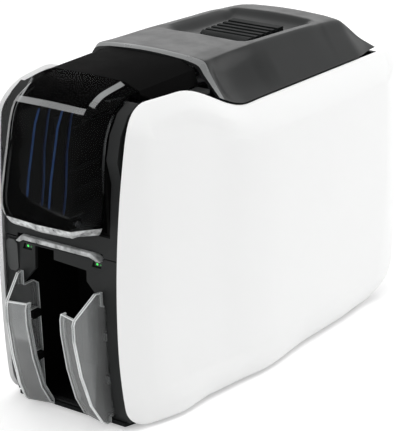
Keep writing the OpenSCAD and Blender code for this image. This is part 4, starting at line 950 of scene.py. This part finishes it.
# Brighter blue beads on the rib edges, as a painted glow
guides = "door_guides"
guide_edge_highlights = beads(guides + "_edges", guides, GUIDE_BEAD)
dress(guide_edge_highlights, body_of(nodes[guides])[0], slot_of[guides], RIB_EDGE_GLOW)

# ---- indicator dots ----
DOME_RINGS = 4
DOME_AROUND = 16
DOME_RISE = 0.6
DOME_SHARP_DEG = 60
INDICATOR_X = 33.0
INDICATOR_Y = -150.1
INDICATOR_Z = 125.2


def dome(name, centre, radius):
    """Low round dome that faces the front."""
    points, faces = [], []
    for i in range(DOME_RINGS + 1):
        a = math.pi / 2 * i / DOME_RINGS
        for k in range(DOME_AROUND):
            b = 2 * math.pi * k / DOME_AROUND
            points.append((
                centre[0] + radius * math.cos(a) * math.cos(b),
                centre[1] - radius * DOME_RISE * math.sin(a),
                centre[2] + radius * math.cos(a) * math.sin(b),
            ))
    for i in range(DOME_RINGS):
        for k in range(DOME_AROUND):
            a, b = i * DOME_AROUND + k, i * DOME_AROUND + (k + 1) % DOME_AROUND
            faces.append((a, b, b + DOME_AROUND, a + DOME_AROUND))
    faces.append(list(range(DOME_AROUND)))
    return build(name, points, faces, DOME_SHARP_DEG)


# A lit dot and a dim one in each indicator's lens: offset from its middle, radius and finish
DOTS = ((-1.0, 0.95, M["green_lens"]), (2.2, 0.7, GREEN_DIM))
for side in (-1, 1):
    for offset, radius, finish in DOTS:
        centre = (side * INDICATOR_X + offset, INDICATOR_Y, INDICATOR_Z)
        dress(dome("indicator_dot", centre, radius), "printer", "green_lens", finish)

# ---- output wings ----
WING_SOFT = 0.8
WING_BEAD = 0.55
# The left wing's body is painted lit and the right one's shaded
for side, node in ((-1, "left_output_wing"), (1, "right_output_wing")):
    # Its rounded edges and its beads carry the painted edge highlight
    wing = softened(node, WING_SOFT, edge=CLEAR_EDGE_HIGHLIGHT)
    dress(wing, "printer", "clear_plastic", WING_LIT_AND_SHADED_CLEAR[side], node)
    dress(beads(node + "_edges", node, WING_BEAD), "printer", "clear_plastic", CLEAR_EDGE_HIGHLIGHT)

# ---- stage, light and camera, in metres ----
FLOOR_REACH = 6.0
FLOOR_LIFT = 0.35
WORLD_LIGHT = 0.5
BACKDROP = 1.0
WHITE = (1, 1, 1, 1)


def backdrop_rays(tree):
    """1 for rays from the camera, mirrored or passed through, which show the backdrop, else 0."""
    path = add(tree, "ShaderNodeLightPath")
    value = path.outputs["Is Camera Ray"]
    for kind in ("Is Glossy Ray", "Is Transmission Ray"):
        either = add(tree, "ShaderNodeMath")
        either.operation = "MAXIMUM"
        tree.links.new(value, either.inputs[0])
        tree.links.new(path.outputs[kind], either.inputs[1])
        value = either.outputs["Value"]
    return value


floor_mesh = bpy.data.meshes.new("floor")
corners = [(x * FLOOR_REACH, y * FLOOR_REACH, 0) for x, y in ((-1, -1), (1, -1), (1, 1), (-1, 1))]
floor_mesh.from_pydata(corners, [], [(0, 1, 2, 3)])
floor = link("floor", floor_mesh)
floor_mat, floor_tree, floor_bsdf = shader("floor")
fill(floor_bsdf, Base_Color=(0.93, 0.93, 0.93, 1), Roughness=0.9, Specular_IOR_Level=0.1)
fill(floor_bsdf, Emission_Color=WHITE)
lift = add(floor_tree, "ShaderNodeMath")
lift.operation = "MULTIPLY"
lift.inputs[1].default_value = FLOOR_LIFT
floor_tree.links.new(backdrop_rays(floor_tree), lift.inputs[0])
floor_tree.links.new(lift.outputs["Value"], floor_bsdf.inputs["Emission Strength"])
floor.data.materials.append(floor_mat)

scene = bpy.context.scene
world = bpy.data.worlds.new("studio")
scene.world = world
world.use_nodes = True
world_tree = world.node_tree
world_tree.nodes.clear()
world_out = add(world_tree, "ShaderNodeOutputWorld")
lighting = add(world_tree, "ShaderNodeBackground", Color=WHITE, Strength=WORLD_LIGHT)
backdrop = add(world_tree, "ShaderNodeBackground", Color=WHITE, Strength=BACKDROP)
chosen = add(world_tree, "ShaderNodeMixShader")
world_tree.links.new(backdrop_rays(world_tree), chosen.inputs["Fac"])
world_tree.links.new(lighting.outputs["Background"], chosen.inputs[1])
world_tree.links.new(backdrop.outputs["Background"], chosen.inputs[2])
world_tree.links.new(chosen.outputs["Shader"], world_out.inputs["Surface"])


def softbox(name, pos, aim, size, watts, mirrored_too=False):
    """An area lamp that faces a point, and shows in glossy surfaces only if asked to."""
    lamp = bpy.data.lights.new(name, "AREA")
    lamp.shape = "RECTANGLE"
    lamp.size, lamp.size_y = size
    lamp.energy = watts
    obj = bpy.data.objects.new(name, lamp)
    scene.collection.objects.link(obj)
    obj.location = pos
    obj.rotation_euler = (Vector(aim) - Vector(pos)).to_track_quat("-Z", "Y").to_euler()
    obj.visible_glossy = mirrored_too


CENTRE = (0, 0, 0.12)
softbox("right_box", (1.4, 1.2, 0.7), CENTRE, (0.9, 0.9), watts=11)
softbox("top_box", (0.1, 0.2, 1.7), CENTRE, (1.2, 1.6), watts=12)
softbox("front_box", (-0.2, -1.7, 0.7), CENTRE, (1.0, 0.8), watts=9)
softbox("back_box", (-1.0, 1.35, 0.9), CENTRE, (0.8, 0.4), watts=1.2, mirrored_too=True)

# The photo's view: a pinhole camera whose focal length is in pixels of the photo
AZIMUTH = math.radians(38.58)
ELEVATION = math.radians(20.73)
CAMERA_ROLL = math.radians(-2.26)
DISTANCE = 1.5608
TARGET = Vector((0.00982, -0.004, 0.11048))
FOCAL_PX = 2031.5
FRAME_LONG_PX = 431
SENSOR_MM = 36.0
back = Vector((
    math.sin(AZIMUTH) * math.cos(ELEVATION),
    -math.cos(AZIMUTH) * math.cos(ELEVATION),
    math.sin(ELEVATION),
))
level_right = Vector((math.cos(AZIMUTH), math.sin(AZIMUTH), 0))
level_up = back.cross(level_right)
right = level_right * math.cos(CAMERA_ROLL) + level_up * math.sin(CAMERA_ROLL)
up = level_up * math.cos(CAMERA_ROLL) - level_right * math.sin(CAMERA_ROLL)
camera_data = bpy.data.cameras.new("camera")
camera_data.sensor_width = SENSOR_MM
camera_data.lens = FOCAL_PX / FRAME_LONG_PX * SENSOR_MM
camera = bpy.data.objects.new("camera", camera_data)
scene.collection.objects.link(camera)
turn = Matrix((right, up, back)).transposed().to_4x4()
camera.matrix_world = Matrix.Translation(TARGET + back * DISTANCE) @ turn
scene.camera = camera
scene.view_settings.view_transform = "Standard"
